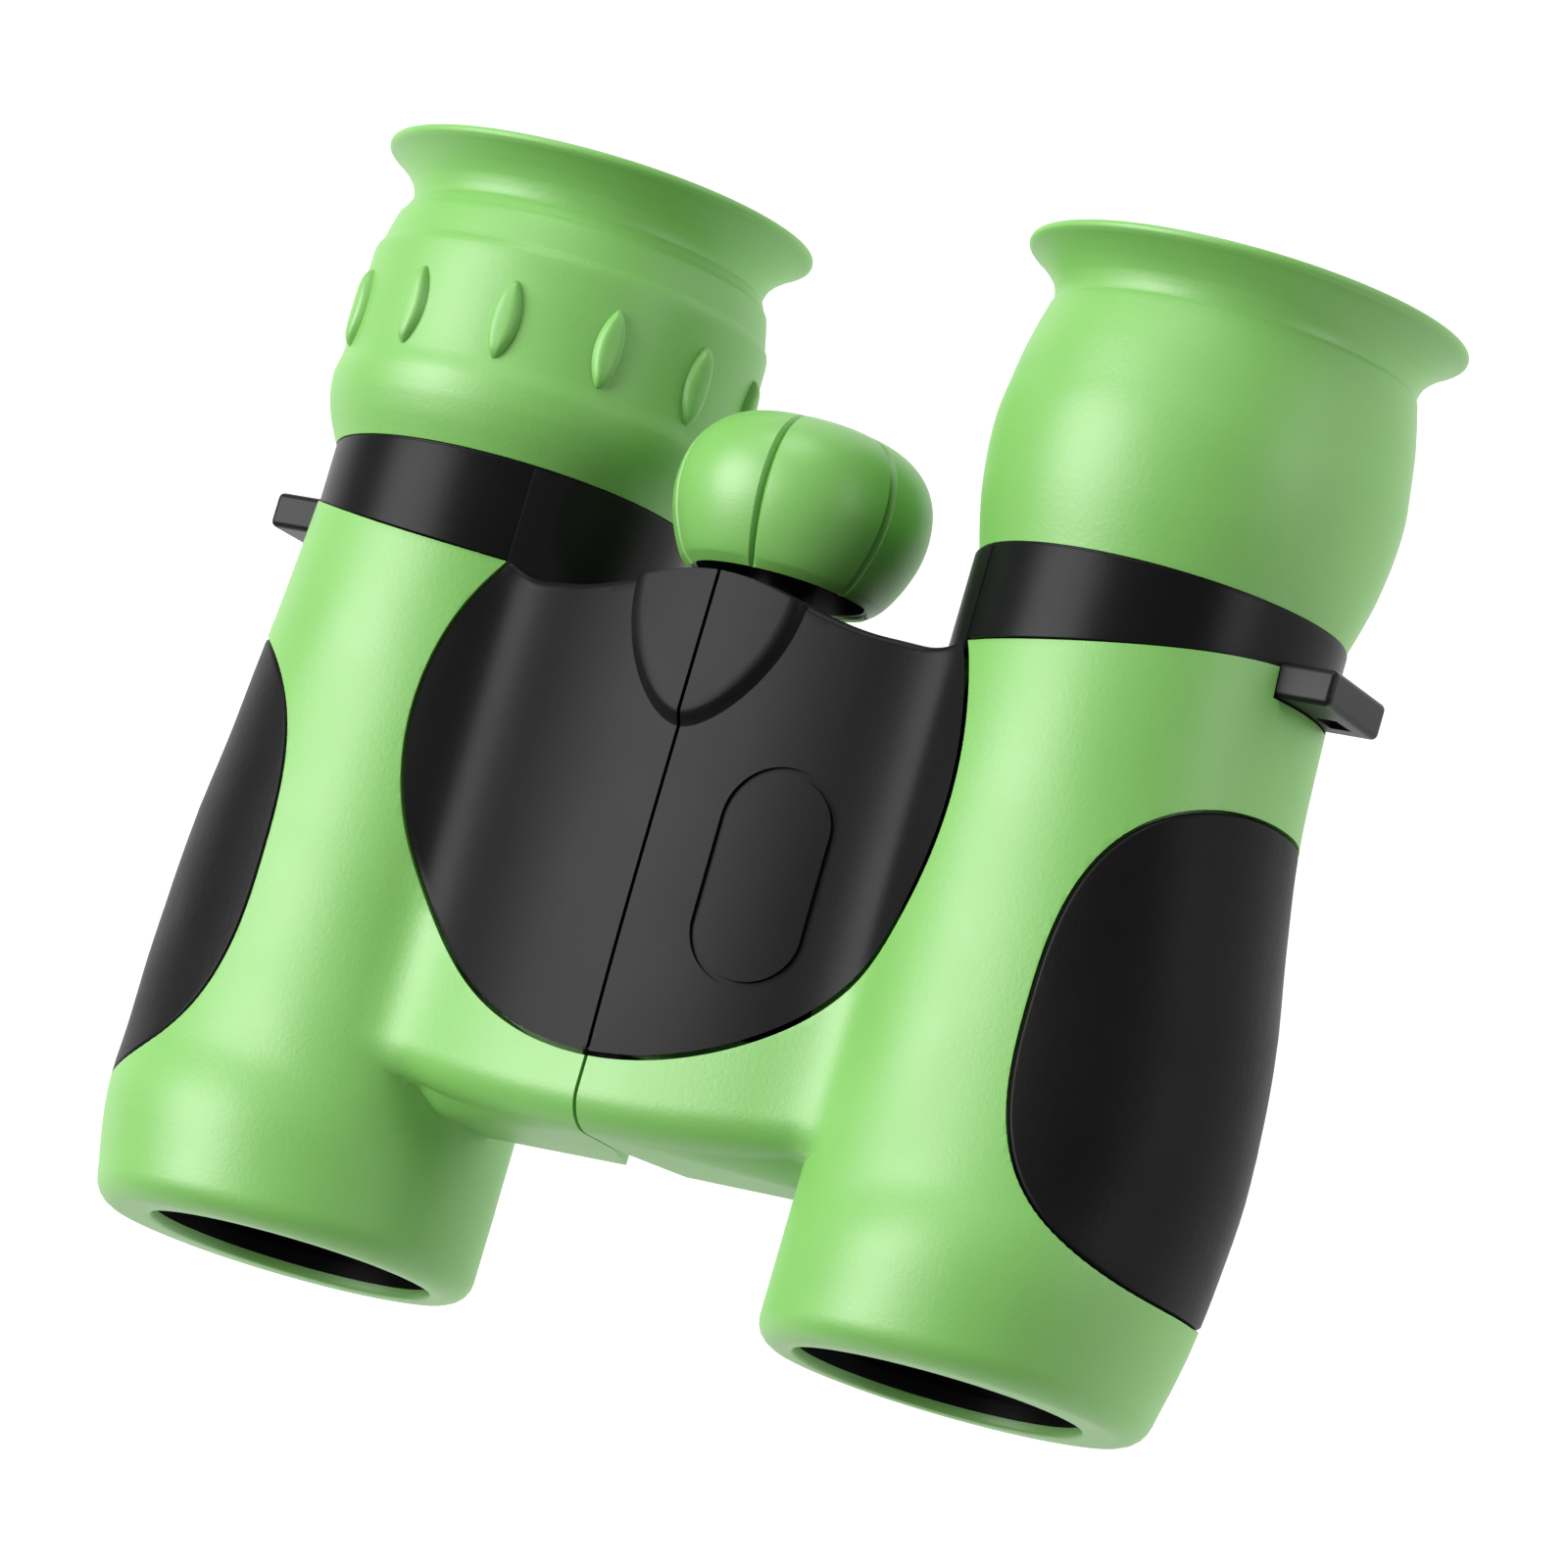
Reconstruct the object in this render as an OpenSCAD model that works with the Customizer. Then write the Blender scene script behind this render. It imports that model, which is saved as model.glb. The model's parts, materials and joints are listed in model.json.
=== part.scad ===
// Toy binoculars: two straight roof-prism barrels on a folding bridge, with a focus knob.
// X runs across the two barrels, Y from the objectives to the eyecups, Z up through the bridge.
// The origin is on the surface that it lies on, under the middle of the bridge.
// Each half is drawn in its barrel's own frame: the barrel axis is Y, and +X points outwards.

/* [Overall] */
// Length from the objective ends to the eyecup rims
body_len = 95; // [88:1:106]
// Distance between the two barrel axes
barrel_spacing = 64.5; // [62:0.5:70]
// Height of the hinge axis over the barrel axes
hinge_rise = 6.3; // [5.6:0.1:7]
// Gap between pieces that are seated on each other
seat_gap = 0.1; // [0.05:0.05:0.2]
// Radial clearance of a shaft, tube or cell in its bore
run_gap = 0.06; // [0.03:0.01:0.09]
// Clearance between faces that pass each other
pass_gap = 0.3; // [0.2:0.05:0.5]

/* [Barrel casing] */
// Radius of the casing away from the palm swell
barrel_r = 15.6; // [15.3:0.1:16.4]
// Height of the palm swell
swell_h = 4.7; // [3:0.1:6]
// Thickness of the casing over the inner tube
skin_wall = 1.4; // [1.2:0.1:1.6]
// Width of the front face round the objective opening
mouth_land = 3.35; // [3:0.05:4]
// Depth of the lip round the objective opening
lip_len = 2; // [1.5:0.1:3]
// Rounding of the objective end
front_round = 2; // [1:0.1:2.6]
// Radius of the arc that the casing's upper edge follows
skin_edge_r = 79; // [60:1:110]
// Offset of that arc's lowest point towards the bridge
skin_edge_shift = 9; // [7:0.5:11]

/* [Grip pads] */
// Distance from a grip pad to the casing's upper edge
grip_tail = 8.8; // [7:0.1:12]
// Angle that a grip pad covers round the barrel
grip_angle = 136; // [110:1:146]
// Angle from the top of the barrel to the middle of a grip pad
grip_mid_angle = 92; // [86:1:98]
// Distance from the objective end to a grip pad
grip_setback = 10.3; // [8:0.1:13]
// Thickness of the casing under a grip pad
grip_floor = 0.7; // [0.5:0.05:0.9]

/* [Bridge] */
// Distance from the objective ends to the front of the bridge
bridge_setback = 13.9; // [12:0.1:16]
// Depth of the bridge below the hinge axis
bridge_depth = 7; // [6.8:0.1:8]
// Thickness of the casing over the bridge
bridge_wall = 1.4; // [1:0.1:1.4]
// Thickness of the bridge's front wall
nose_wall = 2; // [1.5:0.1:3]
// Rounding of the bridge's front edges
nose_round = 3.2; // [2:0.1:4]
// Radius of the bridge's front in plan
nose_curve_r = 95; // [70:1:140]
// Angle by which each half is cut back under the hinge for folding
fold_relief = 22; // [21:0.5:26]
// Gap between the halves along the seam
seam_gap = 0.16; // [0.1:0.02:0.3]

/* [Bridge covers] */
// Height of the covers' crown over the hinge axis
cover_crown = 9.1; // [8.8:0.1:10]
// Radius of the round plate that the two covers make
cover_r = 26.2; // [25:0.1:27]
// Distance of the plate's middle from the covers' upper edge
cover_back = 13.7; // [12.5:0.1:14.5]
// Thickness of a cover
cover_t = 1.7; // [1.4:0.1:1.8]
// Height of a cover over the casing round it
cover_proud = 0.7; // [0.5:0.1:0.9]
// Fall of the covers from their crown to the valley beside it
cover_fall = 2.2; // [1.6:0.1:2.6]
// Distance from the seam over which the covers fall
cover_fall_x = 16; // [14:0.5:18]
// Radius of the tongue under the knob, at the knob's end
tongue_r = 11; // [10.6:0.1:11.4]
// Length of the tongue
tongue_len = 15; // [12:0.5:18]
// Distance by which the tongue stands out past the covers' upper edge
tongue_reach = 1.9; // [1.5:0.1:2.4]

/* [Band and strap lugs] */
// How far the band stands out beyond the casing
band_rise = 0.2; // [0:0.05:0.6]
// Length of the band on its inner side
band_len = 8.3; // [7.5:0.1:9]
// How far a strap lug stands out from the casing
lug_out = 4.8; // [4.4:0.1:6]
// Length of a strap lug along the barrel
lug_len = 3.1; // [2.8:0.1:3.6]
// Height of a strap lug over the barrel axis
lug_rise = 4.8; // [4:0.1:5.4]
// Depth of a strap lug below the barrel axis
lug_drop = 5.7; // [5:0.1:6.4]
// Width of the strap slot
slot_w = 2.2; // [1.8:0.1:2.4]
// Height of the strap slot
slot_h = 3; // [2.4:0.1:3.4]

/* [Eyecups] */
// Length of an eyecup
eyecup_len = 27; // [25:0.5:29]
// How far an eyecup's rim stands out beyond the band
rim_flare = 3.05; // [2.6:0.05:4.2]
// How much wider the floor of the funnel is than the eyepiece cell
funnel_step = 0.7; // [0.3:0.1:1.2]
// Depth of the funnel
funnel_len = 8.3; // [6.5:0.1:8.4]
// Wall at an eyecup's lip
lip_wall = 0.9; // [0.7:0.1:1.2]
// Number of ribs on the dioptre eyecup
rib_count = 12; // [8:1:16]
// Length of a rib
rib_len = 7; // [5:0.1:8]
// Width of a rib
rib_w = 2.2; // [1.6:0.1:2.6]

/* [Focus] */
// Radius of the focus knob
knob_r = 11.2; // [10:0.1:11.6]
// Length of the focus knob
knob_len = 15; // [13:0.1:16]
// Number of grooves round the knob
knob_grooves = 6; // [5:1:8]
// Width of a knob groove
groove_w = 0.5; // [0.3:0.1:0.8]
// Travel of the objectives each way from the middle
focus_travel = 2; // [1.5:0.1:2.2]
// Radius of the focus shaft
shaft_r = 1.5; // [1.3:0.05:1.6]
// Radius of the hinge tube
tube_r = 2.6; // [2.4:0.05:2.8]
// Radius of the hinge knuckles
knuckle_r = 5.2; // [4.9:0.05:5.25]
// Length of the focus collar
collar_len = 6; // [5.4:0.1:6.6]
// Radius of the focus collar
collar_r = 4.6; // [4.2:0.1:4.9]

/* [Optics] */
// Distance from the bore to the edge of the objective lenses
objective_inset = 1.9; // [1.7:0.1:2.4]
// How far each face of the front lens bulges
objective_bulge = 1.98; // [1.6:0.02:2.1]
// Thickness of the objective's front lens
objective_t = 4.4; // [4:0.1:5]
// Thickness of the objective's rear lens at its middle
flint_t = 1.6; // [1.2:0.1:2]
// Distance from the objective end to the objective cell
objective_setback = 5.5; // [5.2:0.1:7]
// Length of the prism pair
prism_len = 20; // [17:0.5:22]
// Share of the bore that the prisms fill across
prism_w_share = 0.538; // [0.46:0.002:0.556]
// Share of the bore that the prisms fill in height
prism_h_share = 0.692; // [0.58:0.002:0.71]
// Distance from the outside of the eyepiece cell to its lenses
eye_lens_inset = 1.4; // [1.2:0.1:1.9]
// How far the curved face of an eyepiece lens bulges
eye_lens_bulge = 2.88; // [2.2:0.02:3]
// Thickness of the eyepiece lenses
eye_lens_t = 4; // [3.7:0.1:4.4]
// Travel of the dioptre cell each way from the middle
diopter_travel = 0.6; // [0.3:0.1:0.8]

/* [Hidden] */
$fn = 96;
lens_fn = 240;
overrun = 60;

band_r = barrel_r + band_rise;
rim_r = band_r + rim_flare;
axis_z = rim_r;
hinge_x = -barrel_spacing / 2;
hinge_z = hinge_rise;

// Places along the barrel, from the objective end to the eyecup rim
front_y = -body_len / 2;
rear_y = body_len / 2;
band_rear_y = rear_y - eyecup_len;
skin_edge_y = band_rear_y - band_len;
bridge_front_y = front_y + bridge_setback;
bridge_rear_y = skin_edge_y - seat_gap;
web_front_y = bridge_front_y + nose_wall + seat_gap;
web_rear_y = bridge_rear_y - cover_t - seat_gap;
tongue_rear_y = bridge_rear_y + tongue_reach;
knob_gap = 0.7;
knob_front_y = tongue_rear_y + knob_gap;

// Inner tube, web and hinge
tube_outer_r = barrel_r - skin_wall - seat_gap / 2;
tube_wall = 1.15;
bore_r = tube_outer_r - tube_wall;
mouth_r = barrel_r - mouth_land;
objective_r = bore_r - objective_inset;
prism_w = 2 * prism_w_share * bore_r;
prism_h = 2 * prism_h_share * bore_r;
cell_inset = 3.1;
cell_r = bore_r - cell_inset;
eye_lens_r = cell_r - eye_lens_inset;
funnel_r = cell_r + funnel_step;
objective_curve = curve_of(objective_r, objective_bulge);
eye_lens_curve = curve_of(eye_lens_r, eye_lens_bulge);
web_half_h = 4;
web_inner = knuckle_r + pass_gap;
washer_t = 0.4;
washer_gap = washer_t + seat_gap;
front_knuckle_len = 2;
clip_len = 0.8;
clip_r = 3.4;
chamber_front_y = web_front_y + 2 * front_knuckle_len + washer_gap;
chamber_len = collar_len + 2 * focus_travel + 4 * pass_gap + clip_len;
chamber_rear_y = chamber_front_y + chamber_len;
knuckle_count = 4;
knuckle_len = (web_rear_y - chamber_rear_y - (knuckle_count - 1) * washer_gap) / knuckle_count;
hub_gap = 0.1;
hub_r = tube_r + pass_gap;
tube_rear_y = tongue_rear_y - clip_len;
tube_front_y = chamber_rear_y - seat_gap;
collar_mid_y = chamber_front_y + (chamber_len - clip_len) / 2;
collar_neck_r = 3;
arm_len = 3;
groove_len = arm_len + 2 * seat_gap;
arm_half_h = 2.3;

// Bridge covers
cover_mid_y = bridge_rear_y - cover_back;
cover_blend = 3;
recess_z = hinge_z + web_half_h + seat_gap;
crown_z = hinge_z + cover_crown;
shoulder_r = barrel_r + cover_proud / 2;
cover_steps = 27;
tongue_end_r = cover_crown + seat_gap;
screw_r = 0.95;
screw_head_r = 1.7;
screw_head_len = 1.4;
boss_r = 2.4;
screw_inset = 5;
screw_x = 11;
screw_bite = 2;
screw_ys = [web_rear_y - screw_inset, chamber_rear_y + screw_inset];

// Palm swell: place along the casing, height share, angle of its middle, half its spread
skin_len = band_rear_y - front_y;
swell_shares = [
    [0, 0.40, 92, 150],
    [0.037, 0.48, 92, 150],
    [0.081, 0.63, 92, 150],
    [0.131, 0.76, 93, 150],
    [0.213, 0.91, 98, 110],
    [0.331, 1, 100, 98],
    [0.493, 0.84, 98, 98],
    [0.625, 0.515, 92, 98],
    [0.765, 0.245, 76, 98],
    [0.929, 0.075, 70, 98],
    [1, 0.04, 70, 98]
];
skin_sides = 34;
roof_steps = 6;
roof_foot_angle = 42;
tiny_share = 0.000001;
front_ring_shares = [0, 0.13, 0.5];
body_ring_shares = [0.037, 0.081, 0.131, 0.17, 0.213, 0.27, 0.331, 0.41, 0.493,
    0.56, 0.625, 0.695, 0.765, 0.85, 0.929, 1];
grip_seat_r = tube_outer_r + seat_gap / 2 + grip_floor;
grip_power = 2.7;
grip_points = 48;
grip_front_y = front_y + grip_setback;
grip_len = skin_edge_y - grip_tail - grip_front_y;
grip_mid_y = grip_front_y + grip_len / 2;
grip_reach_share = 1.5;

// Strap lugs
lug_setback = 5.5;
lug_mid_y = band_rear_y - lug_setback;
lug_reach = barrel_r + lug_out;
slot_out = 0.8;
strap_slot_x = barrel_r + slot_out;
slot_z = -2;

// Eyepieces
rear_wall = 2.5;
sleeve_foot = 1.2;
sleeve_wall = 2;
sleeve_bore = cell_r + run_gap;
sleeve_r = sleeve_bore + sleeve_wall;
sleeve_front_y = band_rear_y - sleeve_foot;
funnel_y = rear_y - funnel_len;
shoulder_t = 1;
sleeve_rear_y = funnel_y - shoulder_t - seat_gap;
cell_front_y = sleeve_front_y + diopter_travel + 2 * seat_gap;
cell_len = 16.4;
eye_ring_len = 1.4;
eye_ring_w = 1.7;
eye_ring_r = eye_lens_r - eye_ring_w;
lens_lip = 1;
lens_lip_w = 1.1;
lens_lip_r = eye_lens_r - lens_lip_w;
light_inset = 1.9;
light_r = cell_r - light_inset;
spacer_wall = 0.9;
spacer_r = eye_lens_r - spacer_wall;
pin_r = 0.8;
pin_setback = 9;
pin_y = band_rear_y + pin_setback;
pin_tip = 1;
pin_tip_r = sleeve_r + pin_tip;
pin_root = 0.9;

// Eyecup outlines: place along the eyecup and radius, as shares of its length and rim radius
eyecup_shares = [[0, 0.830], [0.07, 0.857], [0.19, 0.898], [0.30, 0.920], [0.42, 0.928],
    [0.53, 0.912], [0.61, 0.894], [0.72, 0.865], [0.785, 0.8355], [0.845, 0.830],
    [0.91, 0.870], [0.955, 0.934], [0.985, 0.990], [1, 1]];
diopter_shares = [[0, 0.845], [0.08, 0.899], [0.15, 0.934], [0.22, 0.950], [0.29, 0.930],
    [0.45, 0.930], [0.61, 0.928], [0.68, 0.914], [0.74, 0.876], [0.785, 0.8405], [0.845, 0.830],
    [0.91, 0.870], [0.955, 0.934], [0.985, 0.990], [1, 1]];
rib_mid_share = 0.41;
rib_r_share = 0.930;
rib_phase = 13;
rib_rise_share = 0.27;
rib_steps = 8;

// Focus knob outline and its bore
knob_power = 2.7;
knob_steps = 14;
knob_phase = 12;
knob_core_share = 0.95;
knob_cut_share = 0.12;
knob_end_wall = 3;
shaft_rear_y = knob_front_y + knob_len - knob_end_wall;
shaft_front_y = chamber_front_y - front_knuckle_len;
knob_face_share = 0.72;

// Objectives
objective_y = front_y + objective_setback;
objective_ring_len = 1.4;
objective_ring_w = 0.9;
objective_ring_r = objective_r - objective_ring_w;
objective_lip = 1.2;
objective_lip_w = 1.1;
objective_lip_r = objective_r - objective_lip_w;
objective_cell_r = bore_r - run_gap;
objective_bore = objective_r + seat_gap;
lens_y = objective_y + objective_ring_len + seat_gap;
flint_y = lens_y + objective_t + seat_gap;
flint_rear_y = flint_y + flint_t;
flint_land = 0.4;
objective_skirt = 3;
objective_cell_len = flint_rear_y + seat_gap + objective_lip + objective_skirt - objective_y;

// Prisms: outlines along and across the light path, as shares of the prism pair
prism_rear_y = band_rear_y - rear_wall - seat_gap;
prism_front_y = prism_rear_y - prism_len;
penta_shares = [[0, -0.5], [0, 0.36], [0.17, 0.5], [0.21, 0.5], [0.78, -0.5]];
roof_shares = [[0.23, 0.5], [1, 0.5], [1, -0.36], [0.83, -0.5], [0.80, -0.5]];
gable_shares = [[-0.5, -0.5], [0.5, -0.5], [0.5, 0.28], [0, 0.5], [-0.5, 0.28]];

left = -1;
right = 1;

// A superellipse's coordinate along one axis, for an angle
function super(c, power) = sign(c) * pow(abs(c), 2 / power);

// The larger of two heights, with a rounded valley where they cross
function smooth_max(a, b, blend) =
    max(a, b) + pow(max(blend - abs(a - b), 0), 2) / (4 * blend);

// Height of a lens's dome at a radius
function sag(curve, r) = curve - sqrt(curve * curve - r * r);

// Radius of the sphere that bulges by b over a lens of radius r
function curve_of(r, b) = (r * r + b * b) / (2 * b);

// A smooth curve through points, with a few steps between each two
function curve_point(p, i, t) =
    let (
        a = p[max(i - 1, 0)],
        b = p[i],
        c = p[i + 1],
        d = p[min(i + 2, len(p) - 1)]
    )
    0.5 * (2 * b + (c - a) * t + (2 * a - 5 * b + 4 * c - d) * t * t
        + (3 * b - a - 3 * c + d) * t * t * t);
function smooth_curve(p, steps) =
    concat([for (i = [0 : len(p) - 2]) for (k = [0 : steps - 1]) curve_point(p, i, k / steps)],
        [p[len(p) - 1]]);

// Put one half's piece on its barrel, mirrored on the left
module on_barrel(side) {
    translate([side * barrel_spacing / 2, 0, axis_z])
        mirror([side < 0 ? 1 : 0, 0, 0])
            children();
}

// A cylinder along Y between two places, and the same round the hinge axis of one half
module rod(r, from, to) {
    translate([0, from, 0])
        rotate([-90, 0, 0])
            cylinder(r = r, h = to - from);
}

module hinge_rod(r, from, to) {
    translate([hinge_x, 0, hinge_z])
        rod(r, from, to);
}

module ring(outer, inner, from, to) {
    difference() {
        rod(outer, from, to);
        rod(inner, from - overrun, to + overrun);
    }
}

// A box between two corners
module block(low, high) {
    translate(low)
        cube(high - low);
}

// An outline in X and Z, drawn out along Y
module drawn_y(points, from, to) {
    translate([0, to, 0])
        rotate([90, 0, 0])
            linear_extrude(to - from)
                polygon(points);
}

// An outline in Y and Z, drawn out along X
module drawn_x(points, from, to) {
    translate([from, 0, 0])
        rotate([90, 0, 90])
            linear_extrude(to - from)
                polygon(points);
}

// An outline of place along Y and radius, spun about Y
module spun(points) {
    rotate([-90, 0, 0])
        rotate_extrude()
            polygon([for (p = points) [p[1], p[0]]]);
}

// The space on one side of the seam, cut back below the hinge axis
module own_half() {
    edge = hinge_x + seam_gap / 2;
    drawn_y([
        [edge, hinge_z + overrun],
        [edge, hinge_z],
        [edge + overrun * tan(fold_relief), hinge_z - overrun],
        [overrun, hinge_z - overrun],
        [overrun, hinge_z + overrun]
    ], -overrun, overrun);
}

// Height of the bridge's crown at a distance from the seam, over the barrel axis
function crown_height(d) = crown_z - cover_fall * pow(d / cover_fall_x, 2);

// Height of the covers there, which also climb the barrel's shoulder
function cover_height(d) =
    let (x = hinge_x + d)
    smooth_max(crown_height(d), sqrt(max(shoulder_r * shoulder_r - x * x, 0)), cover_blend);

// Distances from the seam at which the covers' outline is drawn
function cover_reach(i) = (cover_r + cover_proud) * i / cover_steps;

// Everything in front of the arc that the casing's upper edge follows, or behind it
module edge_arc(r) {
    translate([-skin_edge_shift, skin_edge_y + skin_edge_r, -overrun])
        cylinder(r = r, h = 2 * overrun, $fn = 180);
}

// Radius of the casing at an angle from the top and a share of its length
function fillet_drop(y) =
    let (d = max(front_round - y + front_y, 0))
    front_round - sqrt(max(front_round * front_round - d * d, 0));
function column(k) = [for (row = swell_shares) [row[0], row[k]]];
function swell_lobe(angle, middle, spread) =
    let (off = min(abs(angle - middle), 360 - abs(angle - middle)))
    off < spread ? (1 + cos(180 * off / spread)) / 2 : 0;
function casing_r(angle, share) =
    barrel_r - fillet_drop(front_y + share * skin_len)
    + swell_h * lookup(share, column(1))
        * swell_lobe(angle, lookup(share, column(2)), lookup(share, column(3)));

// Cross-section of one half of the bridge, less a drop at its edges for the rounded front
function bridge_section(drop) =
    let (
        edge = hinge_x + seam_gap / 2,
        floor_z = hinge_z - bridge_depth + drop,
        roof_z = crown_z - cover_proud - drop,
        far_x = hinge_x + cover_r,
        roof = [for (i = [1 : roof_steps])
            let (d = cover_r * i / roof_steps)
            [hinge_x + d, roof_z - crown_z + crown_height(d)]]
    )
    concat([[edge, roof_z]], roof, [
        [far_x, floor_z],
        [edge + (hinge_z - floor_z) * tan(fold_relief), floor_z],
        [edge, hinge_z]
    ]);

// Distance from the barrel axis to the outline's edge between two points, along an angle
function edge_distance(angle, a, b) =
    let (
        ray = [sin(angle), cos(angle)],
        e = b - a,
        det = ray[0] * e[1] - ray[1] * e[0],
        t = (a[0] * e[1] - a[1] * e[0]) / det,
        u = (a[0] * ray[1] - a[1] * ray[0]) / det
    )
    abs(det) < tiny_share || u < -tiny_share || u > 1 + tiny_share ? 0 : max(t, 0);
function section_r(angle, section) =
    max([for (i = [0 : len(section) - 1])
        edge_distance(angle, section[i], section[(i + 1) % len(section)])]);

// Angles from the top at which a casing's rings have their points, with the bridge's corners
function angle_of(p) = (atan2(p[0], p[1]) + 360) % 360;
function corner_angles() =
    let (
        section = bridge_section(0),
        last = len(section) - 1,
        foot_z = hinge_z - bridge_depth,
        foot = [-sqrt(barrel_r * barrel_r - foot_z * foot_z), foot_z],
        low = angle_of(section[last - 1]),
        hinge = angle_of(section[last]),
        top = angle_of(section[0]),
        roof_foot = 360 - roof_foot_angle
    )
    concat([angle_of(foot), low, (low + hinge) / 2, hinge, (hinge + top) / 2],
        [for (i = [0 : roof_steps]) top + (roof_foot - top) * i / roof_steps]);

// Rings of a casing: place along Y, drop of the bridge's edges (none without a bridge), bow
function casing_rings(bridged) =
    let (
        nose_bow = cover_fall_x * cover_fall_x / (2 * nose_curve_r),
        base = bridge_front_y + nose_bow,
        nose_end = base + nose_round,
        places = concat([for (s = front_ring_shares) front_y + s * front_round],
            [for (s = body_ring_shares) front_y + s * skin_len])
    )
    bridged ? concat(
        [for (y = places) if (y < base - nose_wall) [y, -1, 0]],
        [[base - seat_gap, -1, 0]],
        [for (a = [0 : 30 : 90])
            [base + nose_round * (1 - cos(a)), nose_round * (1 - sin(a)), nose_bow]],
        [for (y = places) if (y > nose_end + nose_wall && y < web_rear_y - nose_wall) [y, 0, 0]],
        [[web_rear_y - seat_gap, 0, 0], [web_rear_y, -1, 0]],
        [for (y = places) if (y > web_rear_y + nose_wall) [y, -1, 0]])
    : [for (y = places) [y, -1, 0]];

// The outside of a barrel's casing, with or without its half of the bridge
module casing(bridged) {
    corners = corner_angles();
    plain = 360 - corners[len(corners) - 1] + corners[0];
    angles = concat(
        [for (j = [1 : skin_sides - 1]) corners[len(corners) - 1] - 360 + plain * j / skin_sides],
        corners);
    rings = casing_rings(bridged);
    n = len(angles);
    points = [for (ring = rings) for (angle = angles)
        let (
            share = (ring[0] - front_y) / skin_len,
            turned = (angle + 360) % 360,
            web = ring[1] < 0 ? 0 : section_r(turned, bridge_section(ring[1])),
            r = max(casing_r(turned, share), turned > 180 ? web : 0),
            near = max(1 - pow((r * sin(turned) - hinge_x) / cover_fall_x, 2), 0)
        )
        [r * sin(turned), ring[0] - ring[2] * near, r * cos(turned)]];
    walls = [for (i = [0 : len(rings) - 2]) for (j = [0 : n - 1])
        let (a = i * n + j, b = i * n + (j + 1) % n)
        each [[a, b, b + n], [a, b + n, a + n]]];
    last = (len(rings) - 1) * n;
    ends = [for (j = [1 : n - 2]) each [[0, j + 1, j], [last, last + j, last + j + 1]]];
    polyhedron(points = points, faces = concat(walls, ends), convexity = 6);
}

// The wedge of space that a grip pad fills, with walls that point at the barrel axis
module grip_zone(grow) {
    n = grip_points;
    inner = grip_seat_r / grip_reach_share;
    outer = grip_seat_r * grip_reach_share * grip_reach_share;
    grow_angle = grow / grip_seat_r * 180 / PI;
    loop = [for (i = [0 : n - 1])
        let (t = 360 * i / n)
        [grip_mid_angle + (grip_angle / 2 + grow_angle) * super(cos(t), grip_power),
            grip_mid_y + (grip_len / 2 + grow) * super(sin(t), grip_power)]];
    hubs = [for (r = [inner, outer])
        [r * sin(grip_mid_angle), grip_mid_y, r * cos(grip_mid_angle)]];
    edges = [for (r = [inner, outer]) for (p = loop) [r * sin(p[0]), p[1], r * cos(p[0])]];
    walls = [for (i = [0 : n - 1])
        let (a = 2 + i, b = 2 + (i + 1) % n)
        each [[a, a + n, b + n], [a, b + n, b], [0, a, b], [1, b + n, a + n]]];
    polyhedron(points = concat(hubs, edges), faces = walls, convexity = 4);
}

// Strap lug's block, which also shapes its pocket in the band and its notch in the casing
module lug_block(grow) {
    block([0, lug_mid_y - lug_len / 2 - grow, -lug_drop - grow],
        [lug_reach + grow, lug_mid_y + lug_len / 2 + grow, lug_rise + grow]);
}

// Green casing of one barrel, with its half of the bridge's front and underside
module skin(side) {
    floor_z = hinge_z - bridge_depth + bridge_wall;
    slab_low = hinge_z - web_half_h - seat_gap;
    slab_high = hinge_z + web_half_h + seat_gap;
    slab_x = -bore_r / 2;
    plate_x = hinge_x + sqrt(cover_r * cover_r - cover_back * cover_back);
    color("yellowgreen")
        on_barrel(side)
            difference() {
                casing(true);
                rod(tube_outer_r + seat_gap / 2, front_y + lip_len, rear_y);
                rod(mouth_r, front_y - overrun, rear_y);
                edge_arc(skin_edge_r);
                difference() {
                    grip_zone(seat_gap);
                    rod(grip_seat_r, front_y - overrun, rear_y);
                }
                block([hinge_x - overrun, web_front_y - seat_gap, floor_z],
                    [-tube_outer_r, rear_y, slab_high]);
                block([hinge_x - overrun, web_front_y - seat_gap, slab_low],
                    [slab_x, rear_y, slab_high]);
                block([hinge_x - overrun, web_front_y - seat_gap, floor_z],
                    [hinge_x + web_inner, rear_y, hinge_z + web_inner]);
                translate([hinge_x, cover_mid_y, recess_z])
                    cylinder(r = cover_r + seat_gap, h = overrun);
                block([hinge_x, cover_mid_y + cover_back - cover_t, 0],
                    [plate_x + seat_gap, rear_y, overrun]);
                difference() {
                    lug_block(seat_gap);
                    rod(tube_outer_r, front_y, rear_y);
                }
            }
}

// Black oval pad on the palm swell
module grip(side) {
    color("dimgray")
        on_barrel(side)
            intersection() {
                casing(false);
                difference() {
                    grip_zone(0);
                    rod(grip_seat_r + seat_gap / 2, front_y, rear_y);
                }
            }
}

// Places of one half's hinge knuckles: every second one in the row, and one at the front
function knuckle_start(i) = web_rear_y - knuckle_len - i * (knuckle_len + washer_gap);
function own_knuckles(side) = side < 0 ? [0, 2] : [1, 3];
function front_knuckle_y(side) =
    side < 0 ? web_front_y + front_knuckle_len + washer_gap : web_front_y;
function knuckle_spans(side) = concat(
    [for (i = own_knuckles(side)) [knuckle_start(i), knuckle_start(i) + knuckle_len]],
    [[front_knuckle_y(side), front_knuckle_y(side) + front_knuckle_len]]);

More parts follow.
